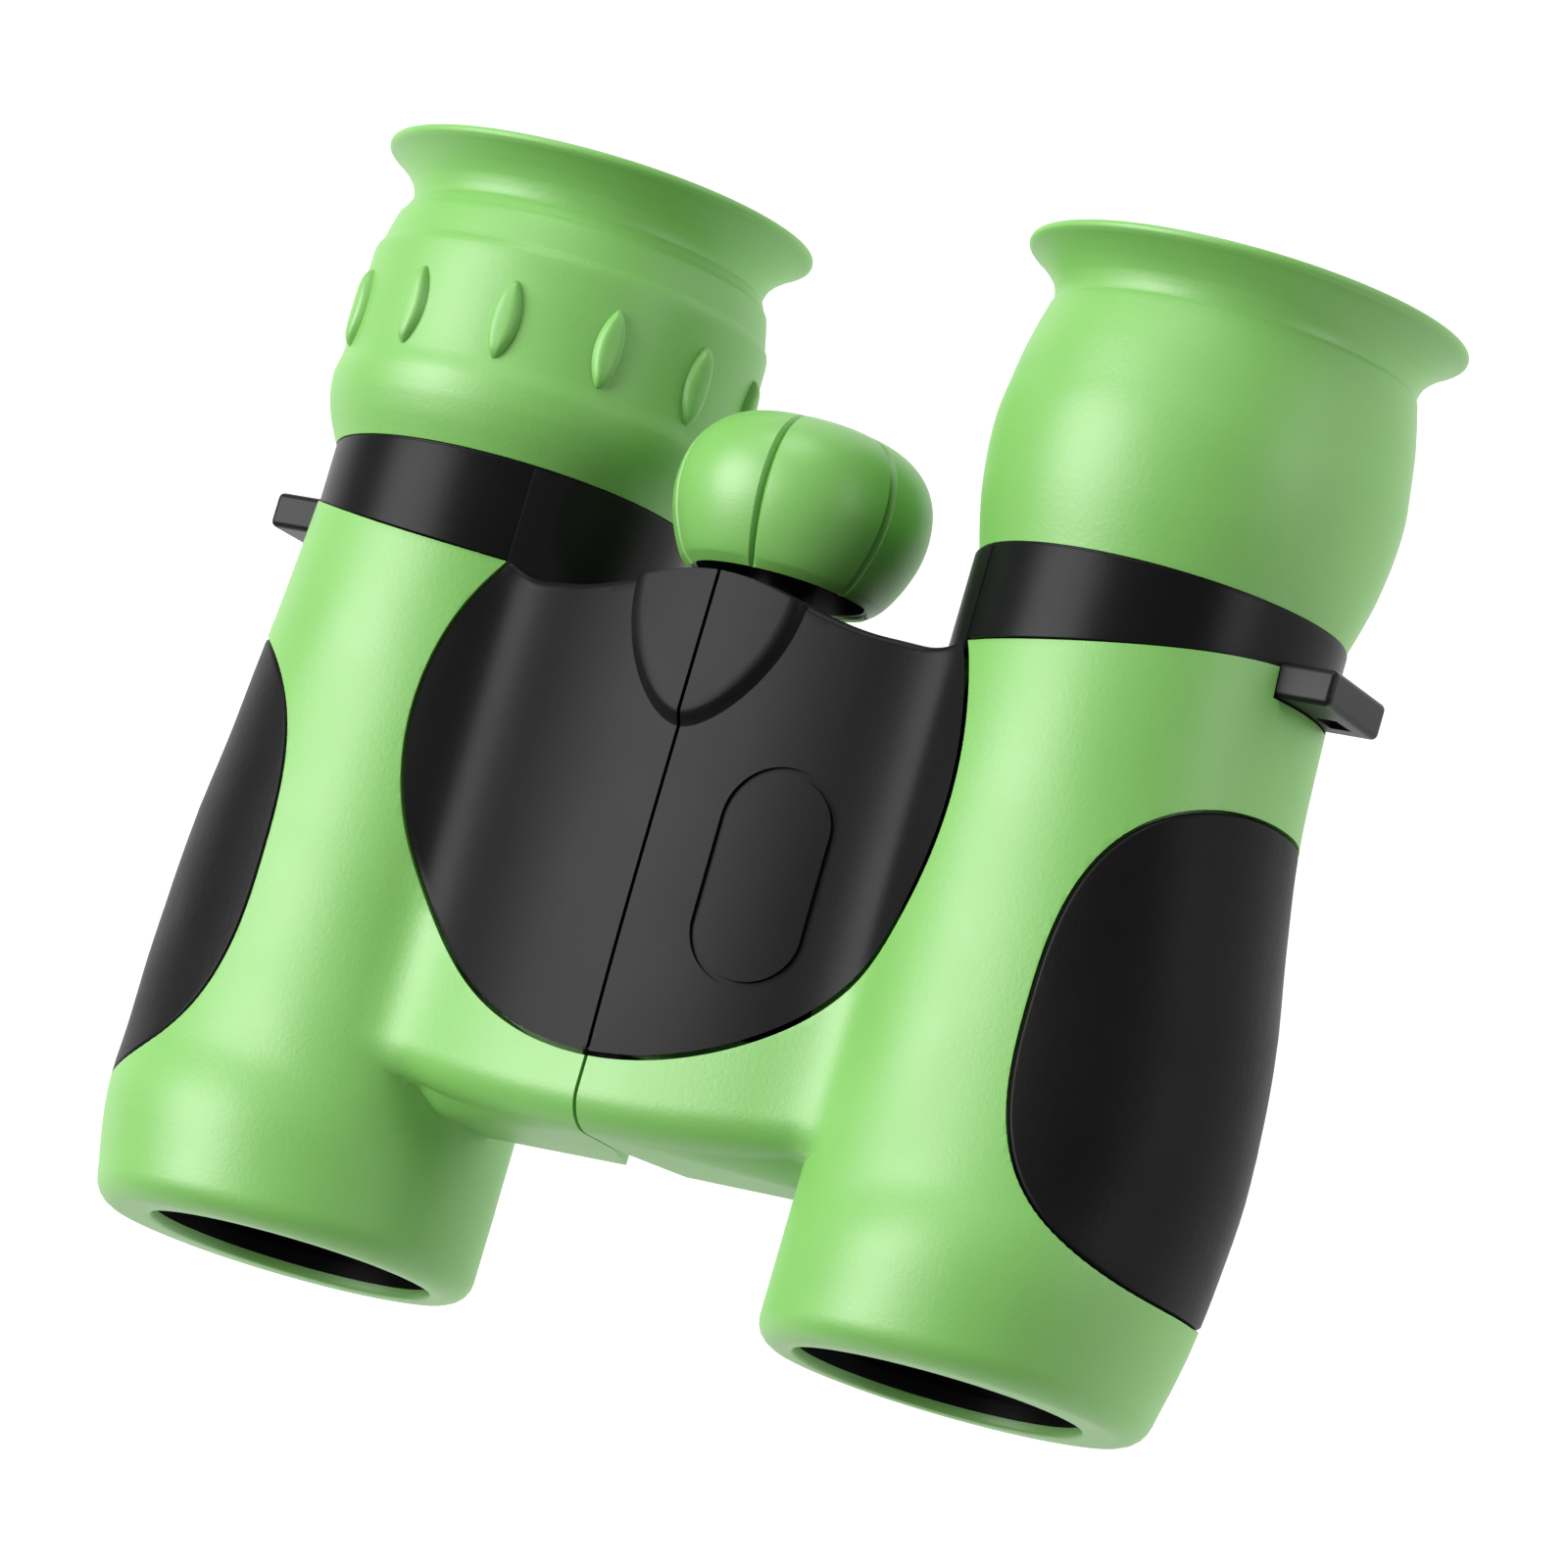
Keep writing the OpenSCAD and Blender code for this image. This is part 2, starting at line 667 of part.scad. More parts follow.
// Black inner body: optics tube, band, web and hinge knuckles
module frame(side) {
    low = hinge_z - web_half_h;
    high = hinge_z + web_half_h;
    arm_low = hinge_z - arm_half_h - pass_gap;
    arm_high = hinge_z + arm_half_h + pass_gap;
    hinge_bore = tube_r + (side < 0 ? run_gap / 2 : run_gap);
    root_x = -bore_r + tube_wall;
    knuckle_x = hinge_x + knuckle_r + web_inner;
    slot_x = pass_gap - objective_lip_r;
    color("black")
        on_barrel(side)
            difference() {
                union() {
                    rod(tube_outer_r, front_y + lip_len + seat_gap, band_rear_y);
                    intersection() {
                        rod(band_r, skin_edge_y, band_rear_y);
                        edge_arc(skin_edge_r - seat_gap);
                    }
                    block([hinge_x + web_inner, web_front_y, low], [root_x, web_rear_y, high]);
                    for (span = knuckle_spans(side)) {
                        hinge_rod(knuckle_r, span[0], span[1]);
                        block([hinge_x, span[0], low], [knuckle_x, span[1], high]);
                    }
                }
                rod(bore_r, front_y, band_rear_y - rear_wall);
                rod(light_r, front_y, rear_y);
                rod(sleeve_r + seat_gap / 2, sleeve_front_y, rear_y);
                hinge_rod(hinge_bore, front_y, rear_y);
                block([hinge_x, chamber_front_y, arm_low], [slot_x, chamber_rear_y, arm_high]);
                for (y = screw_ys)
                    translate([hinge_x + screw_x, y, low]) {
                        translate([0, 0, -overrun])
                            cylinder(r = screw_r + seat_gap, h = 2 * overrun);
                        translate([0, 0, -overrun])
                            cylinder(r = screw_head_r + seat_gap, h = overrun + screw_head_len);
                    }
                difference() {
                    lug_block(seat_gap / 2);
                    rod(tube_outer_r, front_y, rear_y);
                }
            }
}

// Black plate half over the bridge, with its tongue, its upper wall and two screw bosses
module bridge_cover(side) {
    tongue_front_y = tongue_rear_y - tongue_len;
    top = [for (i = [0 : cover_steps]) [hinge_x + cover_reach(i), cover_height(cover_reach(i))]];
    under = [for (i = [cover_steps : -1 : 0])
        [hinge_x + cover_reach(i), cover_height(cover_reach(i)) - cover_t]];
    wall_x = hinge_x + cover_reach(cover_steps);
    floor_z = hinge_z - bridge_depth;
    boss_z = hinge_z + web_half_h;
    boss_h = cover_height(screw_x) - cover_t / 2 - boss_z;
    wall_front_y = bridge_rear_y - cover_t;
    plate_front_y = cover_mid_y - cover_r - cover_t;
    color("dimgray")
        on_barrel(side)
            difference() {
                intersection() {
                    union() {
                        intersection() {
                            drawn_y(concat(top, under), plate_front_y, bridge_rear_y);
                            translate([hinge_x, cover_mid_y, 0])
                                cylinder(r = cover_r, h = overrun);
                        }
                        intersection() {
                            drawn_y(concat(top, [[wall_x, floor_z], [hinge_x, floor_z]]),
                                wall_front_y, bridge_rear_y);
                            translate([hinge_x, cover_mid_y, floor_z])
                                cylinder(r = cover_r, h = overrun);
                        }
                        difference() {
                            translate([hinge_x, tongue_front_y, hinge_z])
                                rotate([-90, 0, 0])
                                    cylinder(r1 = tongue_end_r, r2 = tongue_r, h = tongue_len);
                            translate([hinge_x, tongue_front_y - cover_t, hinge_z])
                                rotate([-90, 0, 0])
                                    cylinder(r1 = tongue_end_r - cover_t, r2 = tongue_r - cover_t,
                                        h = tongue_len);
                            block([hinge_x - overrun, tongue_front_y - overrun, -overrun],
                                [overrun, wall_front_y, hinge_z + web_inner]);
                        }
                        for (y = screw_ys)
                            translate([hinge_x + screw_x, y, boss_z])
                                cylinder(r = boss_r, h = boss_h);
                    }
                    own_half();
                }
                rod(tube_outer_r + seat_gap / 2, front_y, skin_edge_y);
                rod(band_r + seat_gap, skin_edge_y - seat_gap, rear_y);
                rod(barrel_r + seat_gap / 2, wall_front_y - seat_gap, bridge_rear_y - seat_gap);
                hinge_rod(web_inner, front_y, tongue_rear_y - cover_t);
                hinge_rod(hub_r + pass_gap, front_y, rear_y);
                for (y = screw_ys)
                    translate([hinge_x + screw_x, y, boss_z - overrun])
                        cylinder(r = screw_r + run_gap / 2, h = overrun + screw_bite + seat_gap);
            }
}

// The two screws that hold a bridge cover, driven from below the web
module cover_screws(side) {
    low = hinge_z - web_half_h;
    shank = 2 * web_half_h - screw_head_len + screw_bite;
    color("silver")
        on_barrel(side)
            for (y = screw_ys)
                translate([hinge_x + screw_x, y, low]) {
                    cylinder(r = screw_head_r, h = screw_head_len);
                    translate([0, 0, screw_head_len])
                        cylinder(r = screw_r, h = shank);
                }
}

// Strap lug: a tall block rooted in the band, with a slot along the barrel for the strap
module strap_lug(side) {
    color("dimgray")
        on_barrel(side)
            difference() {
                lug_block(0);
                rod(tube_outer_r + seat_gap / 2, front_y, rear_y);
                block([strap_slot_x, front_y, slot_z - slot_h / 2],
                    [strap_slot_x + slot_w, rear_y, slot_z + slot_h / 2]);
            }
}

// Black holder that fills the inner tube and keeps the prisms
module prism_holder(side) {
    half_w = prism_w / 2 + seat_gap;
    half_h = prism_h / 2 + seat_gap;
    color("darkslategray")
        on_barrel(side)
            difference() {
                rod(bore_r - seat_gap / 2, prism_front_y, prism_rear_y);
                block([-half_w, front_y, -half_h], [half_w, rear_y, half_h]);
            }
}

// Glass prisms: the half-penta in front and the roof prism behind it
function prism_outline(shares) =
    [for (p = shares) [prism_front_y + p[0] * prism_len, p[1] * prism_h]];

module penta_prism(side) {
    color("lightblue")
        on_barrel(side)
            drawn_x(prism_outline(penta_shares), -prism_w / 2, prism_w / 2);
}

module roof_prism(side) {
    color("lightblue")
        on_barrel(side)
            intersection() {
                drawn_x(prism_outline(roof_shares), -prism_w / 2, prism_w / 2);
                drawn_y([for (p = gable_shares) [p[0] * prism_w, p[1] * prism_h]],
                    prism_front_y, prism_rear_y);
            }
}

// Eyepiece sleeve, set in the rear wall; on the dioptre side it has a slot for the pin
module eyepiece_sleeve(side) {
    slot_half = pin_r + run_gap;
    color("black")
        on_barrel(side)
            difference() {
                ring(sleeve_r, sleeve_bore, sleeve_front_y, sleeve_rear_y);
                if (side < 0)
                    block([0, pin_y - slot_half - diopter_travel, -slot_half],
                        [overrun, pin_y + slot_half + diopter_travel, slot_half]);
            }
}

// Eyepiece cell that carries the two eyepiece lenses
module eyepiece_cell(side) {
    color("black")
        on_barrel(side)
            difference() {
                rod(cell_r, cell_front_y, cell_front_y + cell_len);
                rod(eye_lens_r + seat_gap / 2, cell_front_y + lens_lip, rear_y);
                rod(lens_lip_r, front_y, rear_y);
                if (side < 0)
                    translate([0, pin_y, 0])
                        rotate([0, 90, 0])
                            cylinder(r = pin_r + run_gap / 2, h = overrun);
            }
}

// Plano-convex eyepiece lens, flat at one place and domed towards +Y
module eye_dome(flat_y) {
    intersection() {
        rod(eye_lens_r, flat_y, flat_y + 2 * eye_lens_t);
        translate([0, flat_y + eye_lens_t - eye_lens_curve, 0])
            sphere(r = eye_lens_curve, $fn = lens_fn);
    }
}

field_y = cell_front_y + lens_lip + seat_gap / 2;
eye_ring_y = cell_front_y + cell_len - eye_ring_len;
eye_flat_y = eye_ring_y - seat_gap / 2;
spacer_sag = sag(eye_lens_curve, spacer_r);

module field_lens(side) {
    color("lightcyan")
        on_barrel(side)
            eye_dome(field_y);
}

module eye_lens(side) {
    color("lightcyan")
        on_barrel(side)
            translate([0, 2 * eye_flat_y, 0])
                mirror([0, 1, 0])
                    eye_dome(eye_flat_y);
}

// Tube that keeps the two eyepiece lenses apart
module lens_spacer(side) {
    reach = eye_lens_t - spacer_sag + seat_gap;
    color("black")
        on_barrel(side)
            ring(eye_lens_r, spacer_r, field_y + reach, eye_flat_y - reach);
}

module eyepiece_ring(side) {
    color("black")
        on_barrel(side)
            ring(eye_lens_r, eye_ring_r, eye_ring_y, eye_ring_y + eye_ring_len);
}

// Radial pin that the turning eyecup drives the dioptre cell with
module diopter_pin() {
    root_r = eye_lens_r + pin_root;
    color("silver")
        on_barrel(left)
            translate([root_r, pin_y, 0])
                rotate([0, 90, 0])
                    cylinder(r = pin_r, h = pin_tip_r - root_r);
}

// A spindle with pointed ends, along Y
module rib() {
    points = [for (i = [0 : rib_steps])
        let (t = 2 * i / rib_steps - 1)
        [t * rib_len / 2, (1 - t * t) * rib_w / 2]];
    spun(points);
}

// Flared green eyecup; the left one carries ribs and the groove for the dioptre pin
module eyecup(side) {
    start_y = band_rear_y + seat_gap;
    length = rear_y - start_y;
    shares = side < 0 ? diopter_shares : eyecup_shares;
    bore = sleeve_r + run_gap;
    outside = [for (p = smooth_curve(shares, 4)) [start_y + p[0] * length, p[1] * rim_r]];
    inside = [
        [rear_y, rim_r - lip_wall],
        [rear_y - lip_wall, rim_r - 2 * lip_wall],
        [funnel_y, funnel_r],
        [funnel_y - shoulder_t, funnel_r],
        [funnel_y - shoulder_t, bore],
        [start_y, bore]
    ];
    rib_y = start_y + rib_mid_share * length;
    groove_half = pin_r + diopter_travel + pass_gap;
    color("yellowgreen")
        on_barrel(side)
            difference() {
                union() {
                    spun(concat(outside, inside));
                    if (side < 0)
                        for (i = [0 : rib_count - 1])
                            rotate([0, rib_phase + 360 * i / rib_count, 0])
                                translate([0, rib_y, rib_r_share * rim_r - rib_rise_share * rib_w / 2])
                                    rib();
                }
                if (side < 0)
                    rod(pin_tip_r + pass_gap, pin_y - groove_half, pin_y + groove_half);
            }
}

// Objective cell, with the rail and arm that reach to the focus collar
module objective_cell(side) {
    low = hinge_z - arm_half_h;
    high = hinge_z + arm_half_h;
    arm_front_y = collar_mid_y - arm_len / 2;
    arm_rear_y = collar_mid_y + arm_len / 2;
    rear = objective_y + objective_cell_len;
    color("black")
        on_barrel(side)
            difference() {
                union() {
                    rod(objective_cell_r, objective_y, rear);
                    intersection() {
                        rod(objective_cell_r, objective_y, arm_rear_y);
                        block([-bore_r, objective_y, low], [0, arm_rear_y, high]);
                    }
                    block([hinge_x, arm_front_y, low], [-objective_lip_r, arm_rear_y, high]);
                }
                rod(objective_bore, objective_y - overrun, flint_rear_y + seat_gap);
                rod(objective_lip_r, front_y, rear_y);
                rod(objective_bore, flint_rear_y + seat_gap + objective_lip, rear_y);
                hinge_rod(collar_neck_r + pass_gap, front_y, rear_y);
            }
}

// Double-convex front lens of the objective
module objective_lens(side) {
    color("lightcyan")
        on_barrel(side)
            intersection() {
                rod(objective_r, lens_y - objective_t, lens_y + 2 * objective_t);
                translate([0, lens_y + objective_curve, 0])
                    sphere(r = objective_curve, $fn = lens_fn);
                translate([0, lens_y + objective_t - objective_curve, 0])
                    sphere(r = objective_curve, $fn = lens_fn);
            }
}

// Rear lens of the objective, hollow towards the front lens
module objective_flint(side) {
    edge_y = flint_y - sag(objective_curve, objective_r) + flint_land;
    color("lightcyan")
        on_barrel(side)
            difference() {
                rod(objective_r, edge_y, flint_rear_y);
                translate([0, flint_y - objective_curve, 0])
                    sphere(r = objective_curve, $fn = lens_fn);
            }
}

module objective_ring(side) {
    color("black")
        on_barrel(side)
            ring(objective_r, objective_ring_r, objective_y, objective_y + objective_ring_len);
}

// Hinge and focus pieces lie on the hinge axis, in the middle of the part
module on_hinge() {
    translate([0, 0, axis_z + hinge_z])
        children();
}

// Steel tube that the knuckles turn on, with the focus shaft inside it
module hinge_tube() {
    color("silver")
        on_hinge()
            ring(tube_r, shaft_r + run_gap, tube_front_y, tube_rear_y);
}

module hinge_washers() {
    color("gold")
        on_hinge()
            for (i = [0 : knuckle_count - 2])
                let (y = knuckle_start(i) - seat_gap / 2)
                    ring(knuckle_r, tube_r + run_gap, y - washer_t, y);
}

// Pin of the front knuckles, with a blind bore for the shaft's end
module front_pin() {
    color("silver")
        on_hinge()
            difference() {
                rod(tube_r, web_front_y, chamber_front_y);
                rod(shaft_r + run_gap, shaft_front_y - seat_gap, rear_y);
            }
}

// Pumpkin-shaped focus knob with grooves, a short hub and a blind bore for the shaft
module focus_knob() {
    mid_y = knob_front_y + knob_len / 2;
    face_r = knob_face_share * knob_r;
    groove_y = knob_front_y + knob_cut_share * knob_len;
    half = [for (i = [0 : knob_steps])
        let (t = 180 * i / knob_steps - 90)
        [mid_y + super(sin(t), knob_power) * knob_len / 2, super(cos(t), knob_power) * knob_r]];
    outside = concat([[knob_front_y, 0], [knob_front_y, face_r]],
        [for (p = half) if (p[1] > face_r || p[0] > mid_y) p]);
    core = [for (p = half) [mid_y + (p[0] - mid_y) * knob_core_share, p[1] * knob_core_share]];
    color("yellowgreen")
        on_hinge()
            difference() {
                union() {
                    spun(outside);
                    rod(hub_r, tube_rear_y + hub_gap, groove_y);
                }
                rod(shaft_r + run_gap / 2, front_y, shaft_rear_y + seat_gap);
                for (i = [0 : knob_grooves - 1])
                    rotate([0, knob_phase + 360 * i / knob_grooves, 0])
                        difference() {
                            block([-groove_w / 2, groove_y, knob_cut_share * knob_r],
                                [groove_w / 2, rear_y, overrun]);
                            drawn_x(core, -groove_w, groove_w);
                        }
            }
}

module focus_shaft() {
    color("silver")
        on_hinge()
            rod(shaft_r, shaft_front_y, shaft_rear_y);
}

// Clip on the shaft that keeps it in the hinge tube
module shaft_clip() {
    clip_rear_y = tube_front_y - seat_gap;
    color("silver")
        on_hinge()
            ring(clip_r, shaft_r + run_gap / 2, clip_rear_y - clip_len, clip_rear_y);
}

// Brass collar on the shaft's thread, with the groove that both arms ride in
module focus_collar() {
    half = collar_len / 2;
    groove_half = groove_len / 2;
    color("gold")
        on_hinge()
            difference() {
                rod(collar_r, collar_mid_y - half, collar_mid_y + half);
                ring(collar_r + overrun, collar_neck_r,
                    collar_mid_y - groove_half, collar_mid_y + groove_half);
                rod(shaft_r + run_gap, front_y, rear_y);
            }
}

frame(left);  // left_frame
skin(left);  // left_skin
grip(left);  // left_grip
bridge_cover(left);  // left_bridge_cover
cover_screws(left);  // left_cover_screws
strap_lug(left);  // left_strap_lug
prism_holder(left);  // left_prism_holder
penta_prism(left);  // left_penta_prism
roof_prism(left);  // left_roof_prism
eyepiece_sleeve(left);  // left_eyepiece_sleeve
eyepiece_cell(left);  // left_eyepiece_cell
field_lens(left);  // left_field_lens
lens_spacer(left);  // left_lens_spacer
eye_lens(left);  // left_eye_lens
eyepiece_ring(left);  // left_eyepiece_ring
eyecup(left);  // left_eyecup
objective_cell(left);  // left_objective_cell
objective_lens(left);  // left_objective_lens
objective_flint(left);  // left_objective_flint
objective_ring(left);  // left_objective_ring
frame(right);  // right_frame
skin(right);  // right_skin
grip(right);  // right_grip
bridge_cover(right);  // right_bridge_cover
cover_screws(right);  // right_cover_screws
strap_lug(right);  // right_strap_lug
prism_holder(right);  // right_prism_holder
penta_prism(right);  // right_penta_prism
roof_prism(right);  // right_roof_prism
eyepiece_sleeve(right);  // right_eyepiece_sleeve
eyepiece_cell(right);  // right_eyepiece_cell
field_lens(right);  // right_field_lens
lens_spacer(right);  // right_lens_spacer
eye_lens(right);  // right_eye_lens
eyepiece_ring(right);  // right_eyepiece_ring
eyecup(right);  // right_eyecup
objective_cell(right);  // right_objective_cell
objective_lens(right);  // right_objective_lens
objective_flint(right);  // right_objective_flint
objective_ring(right);  // right_objective_ring
diopter_pin();
hinge_tube();
hinge_washers();
front_pin();
focus_knob();
focus_shaft();
shaft_clip();
focus_collar();
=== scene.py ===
"""Toy binoculars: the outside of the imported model, piece by piece, with its finishes and studio."""
import json
import math

import bmesh
import bpy
from mathutils import Matrix, Vector


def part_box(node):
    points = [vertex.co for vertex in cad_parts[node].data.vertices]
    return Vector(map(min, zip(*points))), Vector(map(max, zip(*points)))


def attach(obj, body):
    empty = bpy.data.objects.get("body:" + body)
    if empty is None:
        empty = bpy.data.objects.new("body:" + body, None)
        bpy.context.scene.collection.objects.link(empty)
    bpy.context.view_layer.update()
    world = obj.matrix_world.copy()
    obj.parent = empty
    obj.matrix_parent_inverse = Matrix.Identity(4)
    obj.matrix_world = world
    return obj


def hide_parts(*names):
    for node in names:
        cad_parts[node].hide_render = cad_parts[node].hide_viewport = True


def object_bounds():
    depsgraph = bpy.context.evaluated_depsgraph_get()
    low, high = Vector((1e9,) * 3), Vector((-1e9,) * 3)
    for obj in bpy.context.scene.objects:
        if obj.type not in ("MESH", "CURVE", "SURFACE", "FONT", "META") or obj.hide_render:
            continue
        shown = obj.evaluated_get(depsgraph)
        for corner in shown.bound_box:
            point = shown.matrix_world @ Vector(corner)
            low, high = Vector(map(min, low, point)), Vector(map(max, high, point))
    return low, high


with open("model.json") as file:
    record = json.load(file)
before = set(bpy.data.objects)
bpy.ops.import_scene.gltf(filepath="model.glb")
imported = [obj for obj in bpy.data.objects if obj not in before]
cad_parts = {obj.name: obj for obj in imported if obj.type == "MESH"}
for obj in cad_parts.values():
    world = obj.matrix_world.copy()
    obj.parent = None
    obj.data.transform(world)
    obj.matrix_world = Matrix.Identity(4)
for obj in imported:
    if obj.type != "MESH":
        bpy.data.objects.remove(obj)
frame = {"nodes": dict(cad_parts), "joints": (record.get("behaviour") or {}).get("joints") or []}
cad_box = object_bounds()

# Casing: each half is one moulding with a soft-touch green coat. It holds the barrel, the palm
# swell and half of the bridge, slides over the black frame and stops at the objective lip.
# Every piece of a half is drawn in millimetres in its barrel's frame: Y along the axis, X outwards.
MM = 0.001
LEFT, RIGHT = -1, 1
HALVES = {"left": LEFT, "right": RIGHT}
joints = {joint["name"]: joint for joint in frame["joints"]}
axis_z = joints["diopter_turn"]["pos_m"][2]
barrel_x = -joints["diopter_turn"]["pos_m"][0] / MM
hinge_z = (joints["fold_hinge"]["pos_m"][2] - axis_z) / MM
front_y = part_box("left_skin")[0].y / MM
rear_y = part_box("left_eyecup")[1].y / MM
barrel_r = 15.6
tube_r = 14.2
mouth_r = 12.25
lip_len = 2
front_round = 2.2
swell_stations = (
    (-47.5, 1.9, 92, 150), (-45, 2.25, 92, 150), (-42, 2.95, 92, 150), (-38.6, 3.58, 93, 150),
    (-33, 4.27, 98, 110), (-25, 4.69, 100, 98), (-14, 3.93, 98, 98), (-5, 2.42, 92, 98),
    (4.5, 1.15, 76, 98), (15.7, 0.35, 70, 98))
roof_z, roof_fall, roof_fall_x = 14.75, 2.2, 16
seam_half = 0.17
fold_slope = math.tan(math.radians(22))
floor_z = -0.7
valley_blend = 5.5
nose_bow_end = 20
nose_y, nose_round, nose_bow = -34.2, 3.2, 1.9 / nose_bow_end ** 2
nose_share, nose_from, nose_from_run, nose_to, nose_to_run = 0.985, 22, 24, 122, 28
skin_edge_y, skin_edge_bend, skin_edge_shift = 12.1, 0.0063, 9
cover_mid_y, cover_r = -1.6, 26.2
cover_gap, recess_z = 0.4, 10.4
grip_mid_y, grip_half_len, grip_power = -16.9, 20.3, 2.7
grip_spread = {"left": (86, 71), "right": (93, 68)}
grip_gap, grip_seat_r = 0.22, 15.0


def along(stations, y):
    """The stations' values at y, on a smooth curve through them."""
    last = len(stations) - 1
    i = min(max(sum(station[0] < y for station in stations) - 1, 0), last - 1)
    a, b = stations[i], stations[i + 1]
    before, after = stations[max(i - 1, 0)], stations[min(i + 2, last)]
    span = b[0] - a[0]
    t = min(max((y - a[0]) / span, 0), 1)
    values = []
    for k in range(1, len(a)):
        start = (b[k] - before[k]) / (b[0] - before[0]) * span
        end = (after[k] - a[k]) / (after[0] - a[0]) * span
        values.append(a[k] + t * (start + t * (3 * (b[k] - a[k]) - 2 * start - end
                                              + t * (start + end - 2 * (b[k] - a[k])))))
    return values


def merged(a, b, blend):
    """The larger of two heights, with a fillet where they cross."""
    mix = min(max(0.5 + (a - b) / (2 * blend), 0), 1)
    return b + (a - b) * mix + blend * mix * (1 - mix)


def eased(t):
    t = min(max(t, 0), 1)
    return t * t * (3 - 2 * t)


def casing_radius(angle, y):
    """Radius of the barrel at an angle from its top, positive outwards."""
    height, middle, spread = along(swell_stations, y)
    off = min(abs((angle - middle + 180) % 360 - 180) / spread, 1)
    edge = min(max(front_round - (y - front_y), 0), front_round)
    rounding = front_round - math.sqrt(front_round ** 2 - edge ** 2)
    return barrel_r + height * (1 + math.cos(math.pi * off)) / 2 - rounding


def bridge_reach(angle, drop):
    """Distance from the barrel axis to the outside of the half bridge, its roof lowered by drop."""
    across, rise = -math.sin(math.radians(angle)), math.cos(math.radians(angle))
    if across <= 0:
        return 0
    wall = barrel_x - seam_half
    reach = [wall / across]
    slant = across - rise * fold_slope
    if slant > 0:
        reach.append((wall - hinge_z * fold_slope) / slant)
    if rise < 0:
        reach.append(floor_z / rise)
    fall = roof_fall / roof_fall_x ** 2
    a, b = fall * across ** 2, rise - 2 * fall * barrel_x * across
    c = fall * barrel_x ** 2 - (roof_z - drop)
    reach.append((math.sqrt(b * b - 4 * a * c) - b) / (2 * a))
    return min(reach)


def edge_y(x):
    """Where the casing's upper edge runs: an arc that dips towards the bridge."""
    return skin_edge_y + skin_edge_bend * (max(x, -barrel_r) + skin_edge_shift) ** 2


def direction(x, y):
    return math.degrees(math.atan2(y, x))


def spun(rows, steps, closed=False):
    """A blank of one ring for each row: Y is the row's number, and the angle gives the column."""
    bm = bmesh.new()
    line = [bm.verts.new((0, i, 1)) for i in range(rows)]
    pairs = list(zip(line, line[1:])) + ([(line[-1], line[0])] if closed else [])
    edges = [bm.edges.new(pair) for pair in pairs]
    bmesh.ops.spin(bm, geom=line + edges, cent=(0, 0, 0), axis=(0, 1, 0),
                   angle=2 * math.pi, steps=steps, use_merge=True)
    return bm


def row_and_column(vert, steps):
    return round(vert.co.y), round(math.atan2(vert.co.x, vert.co.z) / (2 * math.pi) * steps) % steps


def cut(bm, *cutters):
    """Takes the cutters' shapes out of a mesh."""
    def as_object(part):
        obj = bpy.data.objects.new("blank", bpy.data.meshes.new("blank"))
        part.to_mesh(obj.data)
        bpy.context.scene.collection.objects.link(obj)
        return obj
    blank = as_object(bm)
    tools = [as_object(cutter) for cutter in cutters]
    for tool in tools:
        modifier = blank.modifiers.new("cut", "BOOLEAN")
        modifier.operation, modifier.solver, modifier.object = "DIFFERENCE", "EXACT", tool
    shape = bpy.data.meshes.new_from_object(
        blank.evaluated_get(bpy.context.evaluated_depsgraph_get()))
    bm.clear()
    bm.from_mesh(shape)
    bpy.data.meshes.remove(shape)
    for obj in [blank] + tools:
        mesh = obj.data
        bpy.data.objects.remove(obj)
        bpy.data.meshes.remove(mesh)
    for cutter in cutters:
        cutter.free()
    bmesh.ops.remove_doubles(bm, verts=bm.verts, dist=0.02)
    bmesh.ops.dissolve_degenerate(bm, edges=bm.edges, dist=0.01)


def block(low, high):
    bm = bmesh.new()
    bmesh.ops.create_cube(bm, size=1)
    size = [b - a for a, b in zip(low, high)]
    middle = [(a + b) / 2 for a, b in zip(low, high)]
    bmesh.ops.transform(bm, verts=bm.verts,
                        matrix=Matrix.Translation(middle) @ Matrix.Diagonal(size).to_4x4())
    return bm


def round_edges(bm, width, segments, sharp=math.radians(40), where=lambda edge: True):
    """Rounds the edges between faces that meet at more than the sharp angle."""
    edges = [e for e in bm.edges if e.is_manifold and e.calc_face_angle() > sharp and where(e)]
    bmesh.ops.bevel(bm, geom=edges, offset=width, offset_type="OFFSET", affect="EDGES",
                    segments=segments, profile=0.5, material=-1, clamp_overlap=True)


def finished(name, bm, body, slot, finish, *nodes, side=None, crease=40):
    """Makes a piece of a mesh drawn in millimetres, in a barrel's frame where a side is given."""
    if side is None:
        place = Matrix.Translation((0, 0, axis_z)) @ Matrix.Diagonal((MM, MM, MM, 1))
    else:
        place = (Matrix.Translation((side * barrel_x * MM, 0, axis_z))
                 @ Matrix.Diagonal((side * MM, MM, MM, 1)))
    bmesh.ops.transform(bm, verts=bm.verts, matrix=place)
    bmesh.ops.recalc_face_normals(bm, faces=bm.faces)
    for face in bm.faces:
        face.smooth = True
    for edge in bm.edges:
        edge.smooth = not (edge.is_manifold and edge.calc_face_angle() > math.radians(crease))
    obj = bpy.data.objects.new(name, bpy.data.meshes.new(name))
    bm.to_mesh(obj.data)
    bm.free()
    bpy.context.scene.collection.objects.link(obj)
    obj.data.materials.append(finish)
    level = obj.modifiers.new("even normals", "WEIGHTED_NORMAL")
    level.keep_sharp = True
    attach(obj, body)
    if nodes:
        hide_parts(*nodes)
    return obj


